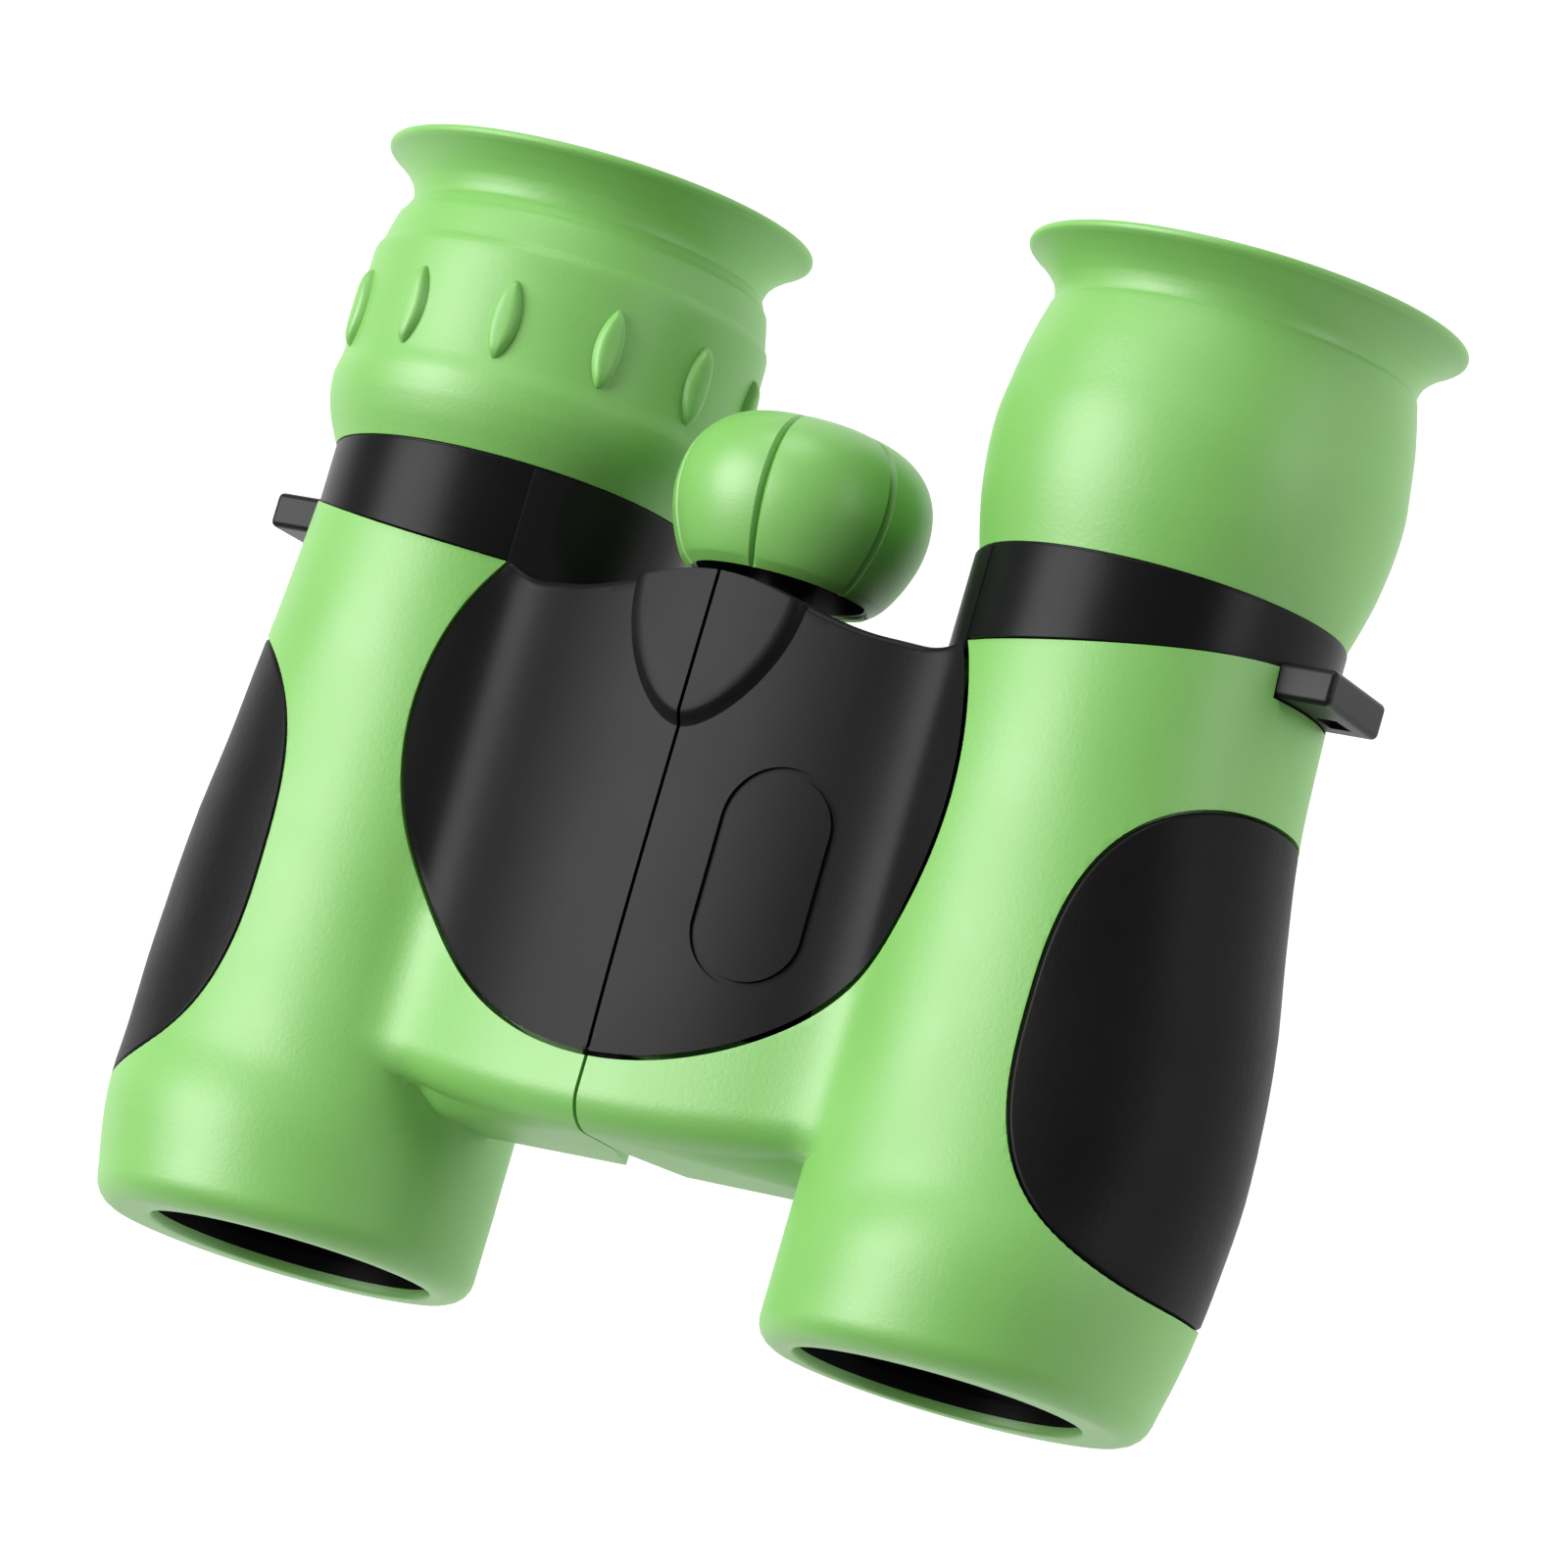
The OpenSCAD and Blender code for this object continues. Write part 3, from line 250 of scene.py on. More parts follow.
def grip_disc(half, grow, lift):
    """The grip's oval, laid on the barrel: lift gives the radius at an angle and a place."""
    rings, steps = 14, 144
    middle, spread = grip_spread[half]
    bm = bmesh.new()
    line = [bm.verts.new((i / rings, 0, 0)) for i in range(rings + 1)]
    edges = [bm.edges.new(pair) for pair in zip(line, line[1:])]
    bmesh.ops.spin(bm, geom=line + edges, cent=(0, 0, 0), axis=(0, 0, 1),
                   angle=2 * math.pi, steps=steps, use_merge=True)
    bmesh.ops.remove_doubles(bm, verts=bm.verts, dist=1e-5)
    for vert in bm.verts:
        share = vert.co.xy.length
        turn = math.atan2(vert.co.y, vert.co.x)
        bend = [math.copysign(abs(c) ** (2 / grip_power), c) for c in (math.cos(turn), math.sin(turn))]
        angle = middle + share * (spread + math.degrees(grow / barrel_r)) * bend[0]
        y = grip_mid_y + share * (grip_half_len + grow) * bend[1]
        r = lift(angle, y)
        vert.co = (r * math.sin(math.radians(angle)), y, r * math.cos(math.radians(angle)))
    return bm


def walled(bm, shift):
    """Gives a sheet a second face, moved by shift, and the wall between the two."""
    sheet = bm.faces[:]
    made = bmesh.ops.extrude_face_region(bm, geom=sheet, use_keep_orig=True)["geom"]
    for vert in [item for item in made if isinstance(item, bmesh.types.BMVert)]:
        vert.co = shift(vert.co)
    bmesh.ops.recalc_face_normals(bm, faces=bm.faces)


def radially(factor):
    return lambda co: Vector((co.x * factor, co.y, co.z * factor))


lug_low, lug_high = (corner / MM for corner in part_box("right_strap_lug"))
lug_front_y, lug_rear_y = lug_low.y, lug_high.y
lug_root_low, lug_root_high = (corner.z - axis_z / MM for corner in (lug_low, lug_high))
lug_gap = 0.15
ear_angles, ear_y = (-37, -118), (11.2, 20.35)

roof_columns, wall_columns, slant_columns, floor_columns, barrel_columns = 36, 8, 8, 10, 154
casing_columns = roof_columns + wall_columns + slant_columns + floor_columns + barrel_columns
valley_angle = 38


def casing_angle(column, drop):
    """Angle of a column: the columns crowd on the bridge, and lie on each of its corners."""
    wall = barrel_x - seam_half
    foot = wall - (hinge_z - floor_z) * fold_slope
    corners = (-valley_angle,
               -direction(roof_z - drop, wall),
               -direction(hinge_z, wall),
               -direction(floor_z, foot),
               -direction(floor_z, barrel_r),
               -valley_angle - 360)
    counts = (roof_columns, wall_columns, slant_columns, floor_columns, barrel_columns)
    for start, end, count in zip(corners, corners[1:], counts):
        if column <= count:
            return start + (end - start) * column / count
        column -= count


def casing_rows():
    """Rings of the casing from inside, round the lip and along the outside to the upper edge."""
    bore = [(None, tube_r), (0, tube_r), (-22, tube_r), (front_y + lip_len, tube_r),
            (front_y + lip_len, mouth_r), (front_y + 1, mouth_r), (front_y + 0.35, mouth_r),
            (front_y + 0.1, mouth_r + 0.1), (front_y, mouth_r + 0.35), (front_y, mouth_r + 0.9)]
    rows = [("bore", y, r) for y, r in bore]
    for turn in (0, 18, 36, 54, 72, 90):
        y = front_y + front_round * (1 - math.cos(math.radians(turn)))
        rows.append(("skin", y, y, nose_round, 0, 0))
    for i, y in enumerate((-44, -42.4, -40.8, -39.2, -37.8, -36.6, -35.6)):
        rows.append(("skin", y, y, nose_round, 0, eased((i + 1) / 8)))
    for i, share in enumerate((0, 0.2, 0.4, 0.6, 0.8, 1)):
        rows.append(("skin", -34.9 + 0.4 * i, nose_y + 0.02 * i, nose_round, share, 1))
    for i, turn in enumerate((11, 22, 34, 46, 58, 70, 80, 90)):
        y = nose_y + 0.1 + nose_round * (1 - math.cos(math.radians(turn)))
        drop = nose_round * (1 - math.sin(math.radians(turn)))
        rows.append(("skin", -32.6 + 0.35 * i, y, drop, 1, 1))
    for i in range(1, 21):
        y = -29.8 + 1.85 * i
        rows.append(("skin", y, y, 0, 1, 1 - eased(i / 6)))
    for share in (0.3, 0.6, 0.85, 1):
        rows.append(("edge", share))
    return rows


def casing_blank():
    rows = casing_rows()
    bm = spun(len(rows), casing_columns, closed=True)
    last_y = rows[-5][1]
    for vert in bm.verts:
        i, column = row_and_column(vert, casing_columns)
        row = rows[i]
        drop = row[3] if row[0] == "skin" else 0
        angle = casing_angle(column, drop)
        across, rise = math.sin(math.radians(angle)), math.cos(math.radians(angle))
        if row[0] == "bore":
            r = row[2]
            y = edge_y(r * across) if row[1] is None else row[1]
        else:
            reach = bridge_reach(angle, drop)
            if row[0] == "edge":
                r = merged(casing_radius(angle, last_y), reach, valley_blend)
                y = last_y + row[1] * (edge_y(r * across) - last_y)
                share = 1
            else:
                share = row[4]
                toward = -angle % 360
                nose = (nose_share * eased((toward - nose_from) / nose_from_run)
                        * eased((nose_to - toward) / nose_to_run))
                off = barrel_x - max(casing_radius(angle, row[1]), reach) * -across
                bow = row[5] * nose_bow * min(off, nose_bow_end) ** 2
                y = row[1] + (row[2] + bow - row[1]) * nose
            plain = casing_radius(angle, y)
            r = plain + share * (merged(plain, reach, valley_blend) - plain)
        vert.co = (r * across, y, r * rise)
    bmesh.ops.recalc_face_normals(bm, faces=bm.faces)
    return bm


def cover_recess():
    bm = bmesh.new()
    bmesh.ops.create_cone(bm, cap_ends=True, segments=240, radius1=cover_r + cover_gap,
                          radius2=cover_r + cover_gap, depth=20)
    bmesh.ops.translate(bm, verts=bm.verts, vec=(-barrel_x, cover_mid_y, recess_z + 10))
    return bm


def grip_recess(half):
    bm = grip_disc(half, grip_gap, lambda angle, y: grip_seat_r)
    walled(bm, radially(1.6))
    return bm


def lug_notch():
    return block((10, lug_front_y - lug_gap, lug_root_low - lug_gap),
                 (30, rear_y, lug_root_high + lug_gap))


def shader_group(name, inputs, outputs):
    """An empty node group with named values in and out, and its two end nodes."""
    tree = bpy.data.node_groups.new(name, "ShaderNodeTree")
    for label, value in inputs.items():
        socket = tree.interface.new_socket(label, in_out="INPUT", socket_type="NodeSocketFloat")
        socket.default_value = value
    for label in outputs:
        tree.interface.new_socket(label, in_out="OUTPUT", socket_type="NodeSocketFloat")
    return tree, tree.nodes.new("NodeGroupInput"), tree.nodes.new("NodeGroupOutput")


def moulded_grain():
    """Spark-eroded mould grain: a fine height, and a slow mottle that the finish varies with."""
    tree, start, end = shader_group(
        "moulded_grain", {"Grain": 3000, "Mottle": 90}, ("Height", "Mottle"))
    place = tree.nodes.new("ShaderNodeTexCoord").outputs["Object"]
    fine = tree.nodes.new("ShaderNodeTexNoise")
    fine.inputs["Detail"].default_value = 3
    fine.inputs["Roughness"].default_value = 0.65
    slow = tree.nodes.new("ShaderNodeTexNoise")
    slow.inputs["Detail"].default_value = 4
    slow.inputs["Roughness"].default_value = 0.55
    link = tree.links.new
    link(place, fine.inputs["Vector"])
    link(place, slow.inputs["Vector"])
    link(start.outputs["Grain"], fine.inputs["Scale"])
    link(start.outputs["Mottle"], slow.inputs["Scale"])
    link(fine.outputs["Fac"], end.inputs["Height"])
    link(slow.outputs["Fac"], end.inputs["Mottle"])
    return tree


grain_group = moulded_grain()


def moulded(name, light, dark, rough, grain, mottle, bump, gloss=0.5, metal=0.0):
    """A moulded finish: its colour and roughness drift with the mottle, and its grain is bumped."""
    finish = bpy.data.materials.new(name)
    finish.use_nodes = True
    tree = finish.node_tree
    shader = tree.nodes["Principled BSDF"]
    texture = tree.nodes.new("ShaderNodeGroup")
    texture.node_tree = grain_group
    texture.inputs["Grain"].default_value = grain
    texture.inputs["Mottle"].default_value = mottle
    colour = tree.nodes.new("ShaderNodeMix")
    colour.data_type = "RGBA"
    colour.inputs[6].default_value = (*dark, 1)
    colour.inputs[7].default_value = (*light, 1)
    sheen = tree.nodes.new("ShaderNodeMapRange")
    sheen.inputs["From Min"].default_value = 0.3
    sheen.inputs["From Max"].default_value = 0.7
    sheen.inputs["To Min"].default_value = rough[0]
    sheen.inputs["To Max"].default_value = rough[1]
    relief = tree.nodes.new("ShaderNodeBump")
    relief.inputs["Strength"].default_value = bump
    relief.inputs["Distance"].default_value = 0.0001
    link = tree.links.new
    link(texture.outputs["Mottle"], colour.inputs[0])
    link(colour.outputs[2], shader.inputs["Base Color"])
    link(texture.outputs["Mottle"], sheen.inputs["Value"])
    link(sheen.outputs["Result"], shader.inputs["Roughness"])
    link(texture.outputs["Height"], relief.inputs["Height"])
    link(relief.outputs["Normal"], shader.inputs["Normal"])
    shader.inputs["Specular IOR Level"].default_value = gloss
    shader.inputs["Metallic"].default_value = metal
    return finish


green_light, green_dark = (0.185, 0.46, 0.1), (0.16, 0.41, 0.084)
casing_green = moulded("casing_green", green_light, green_dark, rough=(0.42, 0.52),
                       grain=2600, mottle=60, bump=0.28, gloss=0.75)
casing_low_z, casing_high_z, casing_round = -8, 20, 0.26

# The bridge is hollow and open behind: each cavity has its front, its far side and its roof.
cavity_seam_x, cavity_floor_z = -barrel_x - 5, floor_z + 1.2
shell_side_x, hinge_side_x = -15.2, -barrel_x + 5.6
shell_front_y, hinge_front_y = nose_y + 5.2, nose_y + 4.4
plate_front_y = cover_mid_y - cover_r + 4
shell_roof_z, plate_roof_z, hinge_roof_z = recess_z - 0.3, recess_z + 0.1, 11.9
cavities = ((shell_front_y, shell_side_x, shell_roof_z), (hinge_front_y, hinge_side_x, shell_roof_z),
            (plate_front_y, shell_side_x, plate_roof_z), (plate_front_y, hinge_side_x, hinge_roof_z))
ear_side_x = barrel_r * math.sin(math.radians(ear_angles[0]))
corner_side_x, corner_front_y = -12, ear_y[0] - 0.9
for half, side in HALVES.items():
    casing = casing_blank()
    cut(casing, cover_recess(), grip_recess(half), lug_notch(),
        *[block((cavity_seam_x, y, cavity_floor_z), (x, rear_y, z)) for y, x, z in cavities],
        block((-2 * barrel_r, ear_y[0] - lug_gap, casing_low_z), (ear_side_x, rear_y, casing_high_z)),
        block((-2 * barrel_r, corner_front_y, cavity_floor_z),
              (corner_side_x, rear_y, casing_high_z)))
    round_edges(casing, casing_round, 3)
    finished(half + "_casing", casing, half + "_half", "casing_green", casing_green,
             half + "_skin", side=side)

# Grips: black rubber pads with a fine matt grain, moulded apart and glued flush into the oval
# recess of each palm swell.
grip_t, grip_round = 1.3, 0.32
grip_black = moulded("grip_black", (0.0055, 0.0055, 0.006), (0.003, 0.003, 0.0033), rough=(0.4, 0.52),
                     grain=1500, mottle=70, bump=0.3, gloss=0.12)


def sunk(depth):
    """Moves a point towards the barrel axis."""
    return lambda co: co - depth * Vector((co.x, 0, co.z)).normalized()


for half, side in HALVES.items():
    grip = grip_disc(half, 0, casing_radius)
    walled(grip, sunk(grip_t))
    round_edges(grip, grip_round, 3)
    finished(half + "_grip_pad", grip, half + "_half", "grip_black", grip_black,
             half + "_grip", side=side)

# Frame bands: the black inner body shows as a smooth band between the casing and the eyecup. It is the
# end of the moulded frame that carries everything else, turned true where the eyecup seats. A thin
# black ring joined to the band lines the inside of the objective's mouth: it is painted shade that
# darkens the lip's inner wall.
band_r, band_wall, band_rear_y, band_gap, band_round = 15.85, 0.7, 20.45, 0.12, 0.14
band_rows = ((band_r, 0), (band_r, 0.2), (band_r, 0.5), (band_r, 0.8), (band_r, 1),
             (band_r - band_wall, 1), (band_r - band_wall, 0))
# The black ring inside the objective's mouth is painted shade: a dark sheet over the lip's inner wall.
mouth_shade_front_y, mouth_shade_rear_y = front_y + 0.9, front_y + 2.2
mouth_shade_inner_r, mouth_shade_outer_r = mouth_r - 0.12, mouth_r + 0.1
mouth_shade_rows = ((mouth_shade_front_y, mouth_shade_inner_r), (mouth_shade_rear_y, mouth_shade_inner_r),
              (mouth_shade_rear_y, mouth_shade_outer_r), (mouth_shade_front_y, mouth_shade_outer_r))
round_columns = 160
# This black is the frame's own colour; on the ring in the objective's mouth and on the lining of the
# knob's front hollow it is painted shade.
frame_black = moulded("frame_black", (0.006, 0.006, 0.0065), (0.0035, 0.0035, 0.004), rough=(0.3, 0.38),
                      grain=3200, mottle=50, bump=0.1, gloss=0.12)


def joined(bm, *others):
    for other in others:
        mesh = bpy.data.meshes.new("part")
        other.to_mesh(mesh)
        other.free()
        bm.from_mesh(mesh)
        bpy.data.meshes.remove(mesh)
    return bm


def turned(rows, closed=False, mid_z=0):
    """A round piece: each row gives a place along its axis and the radius there."""
    bm = spun(len(rows), round_columns, closed)
    for vert in bm.verts:
        i, column = row_and_column(vert, round_columns)
        turn = 2 * math.pi * column / round_columns
        y, r = rows[i]
        vert.co = (r * math.sin(turn), y, mid_z + r * math.cos(turn))
    bmesh.ops.recalc_face_normals(bm, faces=bm.faces)
    return bm


for half, side in HALVES.items():
    band = spun(len(band_rows), round_columns, closed=True)
    for vert in band.verts:
        i, column = row_and_column(vert, round_columns)
        r, share = band_rows[i]
        turn = 2 * math.pi * column / round_columns
        low = edge_y(r * math.sin(turn)) + band_gap
        vert.co = (r * math.sin(turn), low + share * (band_rear_y - low), r * math.cos(turn))
    bmesh.ops.recalc_face_normals(band, faces=band.faces)
    round_edges(band, band_round, 2)
    # The band is joined with the painted-shade ring inside the objective's mouth.
    finished(half + "_band", joined(band, turned(mouth_shade_rows, closed=True)), half + "_half",
             "frame_black", frame_black, side=side)

# Bridge cover: two black satin plates meet at the fold seam. Each is crowned over the hinge, climbs
# its barrel's shoulder, turns down behind the bridge, and is held by two screws from below.
cover_black = moulded("cover_black", (0.009, 0.009, 0.0092), (0.006, 0.006, 0.0062), rough=(0.34, 0.42),
                      grain=3000, mottle=45, bump=0.1, gloss=0.1)
cover_t, cover_inner_w, cover_inner_len = 1.4, 0.96, 0.955
cover_proud, cover_edge_proud, cover_round = 0.62, 0.12, 0.22
cover_corner_y, cover_corner_power = 12.3, 8
cover_wall_least, cover_wall_lean, cover_wall_round, cover_wall_from_y = 1.2, 0.25, 0.9, 4
scoop_y, scoop_rise, scoop_half_w = 11.2, 1.35, 15.5
climb_from, climb = 18.6, 0.1
hub_hole_r, hub_hole_mid_y, hub_hole_len = 3.3, 15, 20
seam_step = 0.05


def casing_height(off, y):
    """Height of the casing's top over the barrel axes, at a distance from the seam."""
    across = barrel_x - max(off, seam_half + seam_step)
    low, high = 4.0, 26.0
    for _ in range(22):
        z = (low + high) / 2
        angle = -direction(z, across)
        inside = merged(casing_radius(angle, y), bridge_reach(angle, 0), valley_blend)
        low, high = (z, high) if inside > math.hypot(across, z) else (low, z)
    return low


def cover_height(off, y):
    share = min(math.hypot(off, y - cover_mid_y) / cover_r, 1)
    front = share if y < cover_mid_y else off / cover_r
    crown = (cover_proud - cover_edge_proud) * (1 - front ** 3)
    return casing_height(off, y) + cover_edge_proud + crown


def scallop(off):
    """The plate's rear edge: full behind the hinge, scooped on both sides, then up the barrel."""
    if off < scoop_half_w:
        return scoop_y + scoop_rise * (1 + math.cos(math.pi * off / scoop_half_w))
    return scoop_y + max(off - climb_from, 0) ** 2 * climb


def off_seam(edge):
    """Whether an edge is away from the fold seam, where the plates stay sharp."""
    return any(vert.co.x + barrel_x > seam_half + seam_step for vert in edge.verts)


def cover_sheet():
    bm = bmesh.new()
    bmesh.ops.create_grid(bm, x_segments=44, y_segments=60, size=1)
    rear = [e for e in bm.edges if all(vert.co.y > 0.999 for vert in e.verts)]
    last = math.acos((cover_mid_y - cover_corner_y) / cover_r)
    tip = Vector((seam_half, cover_mid_y - cover_r))
    seam_end = Vector((seam_half, scallop(0)))
    corner = Vector((cover_r * math.sin(last), cover_corner_y))
    for vert in bm.verts:
        u, v = (vert.co.x + 1) / 2, (vert.co.y + 1) / 2
        seam = tip.lerp(seam_end, v)
        arc = Vector((cover_r * math.sin(v * last), cover_mid_y - cover_r * math.cos(v * last)))
        off = seam_half + u * (corner.x - seam_half)
        rise = u ** cover_corner_power * (cover_corner_y - scallop(corner.x))
        edge = Vector((off, scallop(off) + rise))
        flat = (seam.lerp(arc, u) + tip.lerp(edge, v)
                - tip.lerp(seam_end.lerp(corner, u), v))
        off = max(flat.x, seam_half)
        vert.co = (off - barrel_x, flat.y, cover_height(off, flat.y))
    walls = bmesh.ops.extrude_edge_only(bm, edges=rear)["geom"]
    for vert in [item for item in walls if isinstance(item, bmesh.types.BMVert)]:
        shoulder = math.sqrt(max(barrel_r ** 2 - vert.co.x ** 2, 0))
        fold = hinge_z - (vert.co.x + barrel_x - seam_half) / fold_slope
        foot = max(shoulder, floor_z + cover_t, fold + cover_t)
        vert.co.z = min(foot, vert.co.z - cover_wall_least)
        vert.co.y -= cover_wall_lean
    bmesh.ops.remove_doubles(bm, verts=bm.verts, dist=0.005)
    bmesh.ops.recalc_face_normals(bm, faces=bm.faces)
    round_edges(bm, cover_wall_round, 4,
                where=lambda edge: min(vert.co.y for vert in edge.verts) > cover_wall_from_y)
    walled(bm, lambda co: Vector((cover_inner_w * (co.x + barrel_x) - barrel_x,
                                  cover_mid_y + cover_inner_len * (co.y - cover_mid_y),
                                  co.z - cover_t)))
    hub = bmesh.new()
    bmesh.ops.create_cone(hub, cap_ends=True, segments=64, radius1=hub_hole_r, radius2=hub_hole_r,
                          depth=hub_hole_len,
                          matrix=Matrix.Translation((-barrel_x, hub_hole_mid_y, hinge_z))
                          @ Matrix.Rotation(math.pi / 2, 4, "X"))
    cut(bm, hub)
    round_edges(bm, cover_round, 2, sharp=math.radians(55), where=off_seam)
    return bm


# The raised tongue of a plate half runs from the knob towards the middle, with sloped flanks.
tongue_half_w, tongue_len, tongue_rise, tongue_flank, tongue_power = 8.5, 13.4, 0.72, 0.95, 1.75
tongue_sink, tongue_round = 0.06, 0.25


def tongue():
    rings, flank_rings, steps = 12, 4, 40
    bm = bmesh.new()
    bmesh.ops.create_grid(bm, x_segments=steps, y_segments=rings + flank_rings, size=1)
    for vert in bm.verts:
        turn = (vert.co.x + 1) / 4 * math.pi
        ring = (vert.co.y + 1) / 2 * (rings + flank_rings)
        out = min(ring / rings, 1)
        flank = max(ring - rings, 0) / flank_rings
        inset = 1 - tongue_flank / tongue_half_w
        size = out * inset + flank * (1 - inset)
        off = size * tongue_half_w * math.sin(turn) ** (2 / tongue_power)
        ahead = size * tongue_len * math.cos(turn) ** (2 / tongue_power)
        y = (1 - ahead / tongue_len) * (scallop(off) - cover_wall_lean)
        off = max(off, seam_half)
        rise = tongue_rise * eased(1 - flank) - tongue_sink * flank
        vert.co = (off - barrel_x, y, cover_height(off, min(y, scallop(off))) + rise)
    bmesh.ops.remove_doubles(bm, verts=bm.verts, dist=0.01)
    bmesh.ops.recalc_face_normals(bm, faces=bm.faces)
    walled(bm, lambda co: co - Vector((0, 0, cover_t)))
    round_edges(bm, tongue_round, 3, sharp=math.radians(60), where=off_seam)
    return bm


# The ear of a plate half lies on the band beside the knob and ends in a fine axial seam.
ear_r, ear_t, ear_round = 15.98, 0.6, 0.12


def ear():
    bm = bmesh.new()
    bmesh.ops.create_grid(bm, x_segments=36, y_segments=8, size=1)
    for vert in bm.verts:
        u, v = (vert.co.x + 1) / 2, (vert.co.y + 1) / 2
        angle = math.radians(ear_angles[0] + u * (ear_angles[1] - ear_angles[0]))
        vert.co = (ear_r * math.sin(angle), ear_y[0] + v * (ear_y[1] - ear_y[0]),
                   ear_r * math.cos(angle))
    walled(bm, sunk(ear_t))
    round_edges(bm, ear_round, 2)
    return bm


# The right plate half carries a bare oblong panel, drawn by a fine groove.
panel_mid, panel_half_len, panel_r, panel_groove = (11.2, -10.8), 4.4, 4.45, 0.58
panel_groove_depth, panel_cutter_h, panel_columns = 0.35, 1.2, 72


def panel_groove_ring():
    bm = bmesh.new()
    bmesh.ops.create_circle(bm, cap_ends=False, segments=panel_columns, radius=1)
    inner = bm.edges[:]
    made = bmesh.ops.extrude_edge_only(bm, edges=inner)["geom"]
    outer = {item for item in made if isinstance(item, bmesh.types.BMVert)}
    for vert in bm.verts:
        turn = math.atan2(vert.co.y, vert.co.x)
        r = panel_r + (panel_groove if vert in outer else 0)
        off = panel_mid[0] + r * math.cos(turn)
        y = panel_mid[1] + r * math.sin(turn) + math.copysign(panel_half_len, math.sin(turn))
        vert.co = (off - barrel_x, y, cover_height(off, y) - panel_groove_depth)
    walled(bm, lambda co: co + Vector((0, 0, panel_cutter_h)))
    return bm


for half, side in HALVES.items():
    plate = cover_sheet()
    if half == "right":
        cut(plate, panel_groove_ring())
    joined(plate, tongue(), ear())
    finished(half + "_plate", plate, half + "_half", "cover_black", cover_black,
             half + "_bridge_cover", side=side)

# Strap lugs: a black moulded lug on each side, rooted in the frame through a notch of the casing,
# with a slot for the strap.
lug_black = moulded("lug_black", (0.009, 0.009, 0.0095), (0.006, 0.006, 0.0062), rough=(0.34, 0.44),
                    grain=2600, mottle=60, bump=0.12, gloss=0.2)
lug_reach_x, lug_inner_x, lug_lean, lug_round = lug_high.x - barrel_x, 14.4, 0.5, 0.55
lug_slot_x, lug_slot_z = (16.5, 18.5), (-3.5, -0.5)
for half, side in HALVES.items():
    lug = block((lug_inner_x, lug_front_y, lug_root_low), (lug_reach_x, lug_rear_y, lug_root_high))
    for vert in lug.verts:
        if vert.co.x > barrel_r and vert.co.z < 0:
            vert.co.x -= lug_lean
    round_edges(lug, lug_round, 4)
    cut(lug, block((lug_slot_x[0], front_y, lug_slot_z[0]), (lug_slot_x[1], rear_y, lug_slot_z[1])))
    finished(half + "_lug", lug, half + "_half", "lug_black", lug_black,
             half + "_strap_lug", side=side)

# Eyecups: soft green rubber, moulded with a flared rim round the eye and pushed on the eyepiece
# sleeve. The left one turns as the dioptre ring and has twelve leaf-shaped ribs.
eyecup_front_y, eyecup_bore, funnel_y, funnel_r = 20.6, 12.02, 39.2, 10.6
flare = ((42.75, 15.6), (43.4, 15.66), (44.3, 15.98), (45.2, 16.68), (46, 17.6), (46.42, 18.18),
         (46.6, 18.5), (46.85, 18.78), (47.15, 18.87), (47.35, 18.82))
cup_outlines = {
    "right": ((20.6, 15.7), (23.2, 16.4), (26, 17), (29.5, 17.42), (32.5, 17.48), (35, 17.2),
              (38, 16.78), (40.3, 16.3), (41.7, 15.95), (42.3, 15.8), (42.55, 15.66)) + flare,
    "left": ((20.6, 15.9), (22.6, 16.95), (24.4, 17.6), (26.4, 17.86), (28, 17.6), (30, 17.5),
             (34, 17.5), (37, 17.5), (37.8, 17.44), (38.2, 17.3), (38.5, 17.08), (39.4, 16.88),
             (40.6, 16.6), (41.3, 16.4), (41.7, 16.1), (42.3, 15.82), (42.55, 15.68)) + flare}
cup_inside = ((47.45, 18.72), (47.5, 18.5), (47.46, 18.2), (47.3, 17.95), (46.7, 17.4),
              (45.6, 16.45), (44, 14.95), (42.2, 13.3), (40.6, 11.85), (39.6, 10.95),
              (funnel_y, funnel_r), (funnel_y - 1, funnel_r), (funnel_y - 1, eyecup_bore),
              (eyecup_front_y, eyecup_bore))
cup_rows, cup_crowding = 54, 0.85
rib_count, rib_len, rib_w, rib_mid_y, rib_phase = 12, 7.4, 2.7, 31.65, 13
rib_base_r, rib_rise, rib_root = 17.2, 1.12, 1


def rib(angle):
    """A leaf-shaped rib with pointed ends, steep sides and a rounded back."""
    bm = bmesh.new()
    bmesh.ops.create_grid(bm, x_segments=12, y_segments=20, size=1)
    for vert in bm.verts:
        t, s = vert.co.x, vert.co.y
        width = rib_w / 2 * (1 - s * s) ** 0.85
        back_r = rib_base_r + rib_rise * (1 - t ** 4) ** 0.6 * (1 - s ** 6) ** 0.7
        turn = math.radians(angle) + t * width / back_r
        vert.co = (back_r * math.sin(turn), rib_mid_y + s * rib_len / 2, back_r * math.cos(turn))
    bmesh.ops.remove_doubles(bm, verts=bm.verts, dist=0.005)
    walled(bm, sunk(rib_root))
    return bm


eyecup_green = moulded("eyecup_green", green_light, green_dark, rough=(0.42, 0.52),
                       grain=2200, mottle=60, bump=0.24, gloss=0.75)
for half, side in HALVES.items():
    outline = cup_outlines[half]
    cup_len = outline[-1][0] - outline[0][0]
    places = {outline[0][0] + cup_len * (i / cup_rows) ** cup_crowding for i in range(cup_rows)}
    places = sorted(places | {y for y, r in outline})
    cup = turned([(y, along(outline, y)[0]) for y in places] + list(cup_inside), closed=True)
    if half == "left":
        joined(cup, *[rib(rib_phase + 360 * i / rib_count) for i in range(rib_count)])
    finished(half + "_eyecup_rubber", cup, "diopter_eyecup" if half == "left" else "right_half",
             "eyecup_green", eyecup_green, half + "_eyecup", side=side)
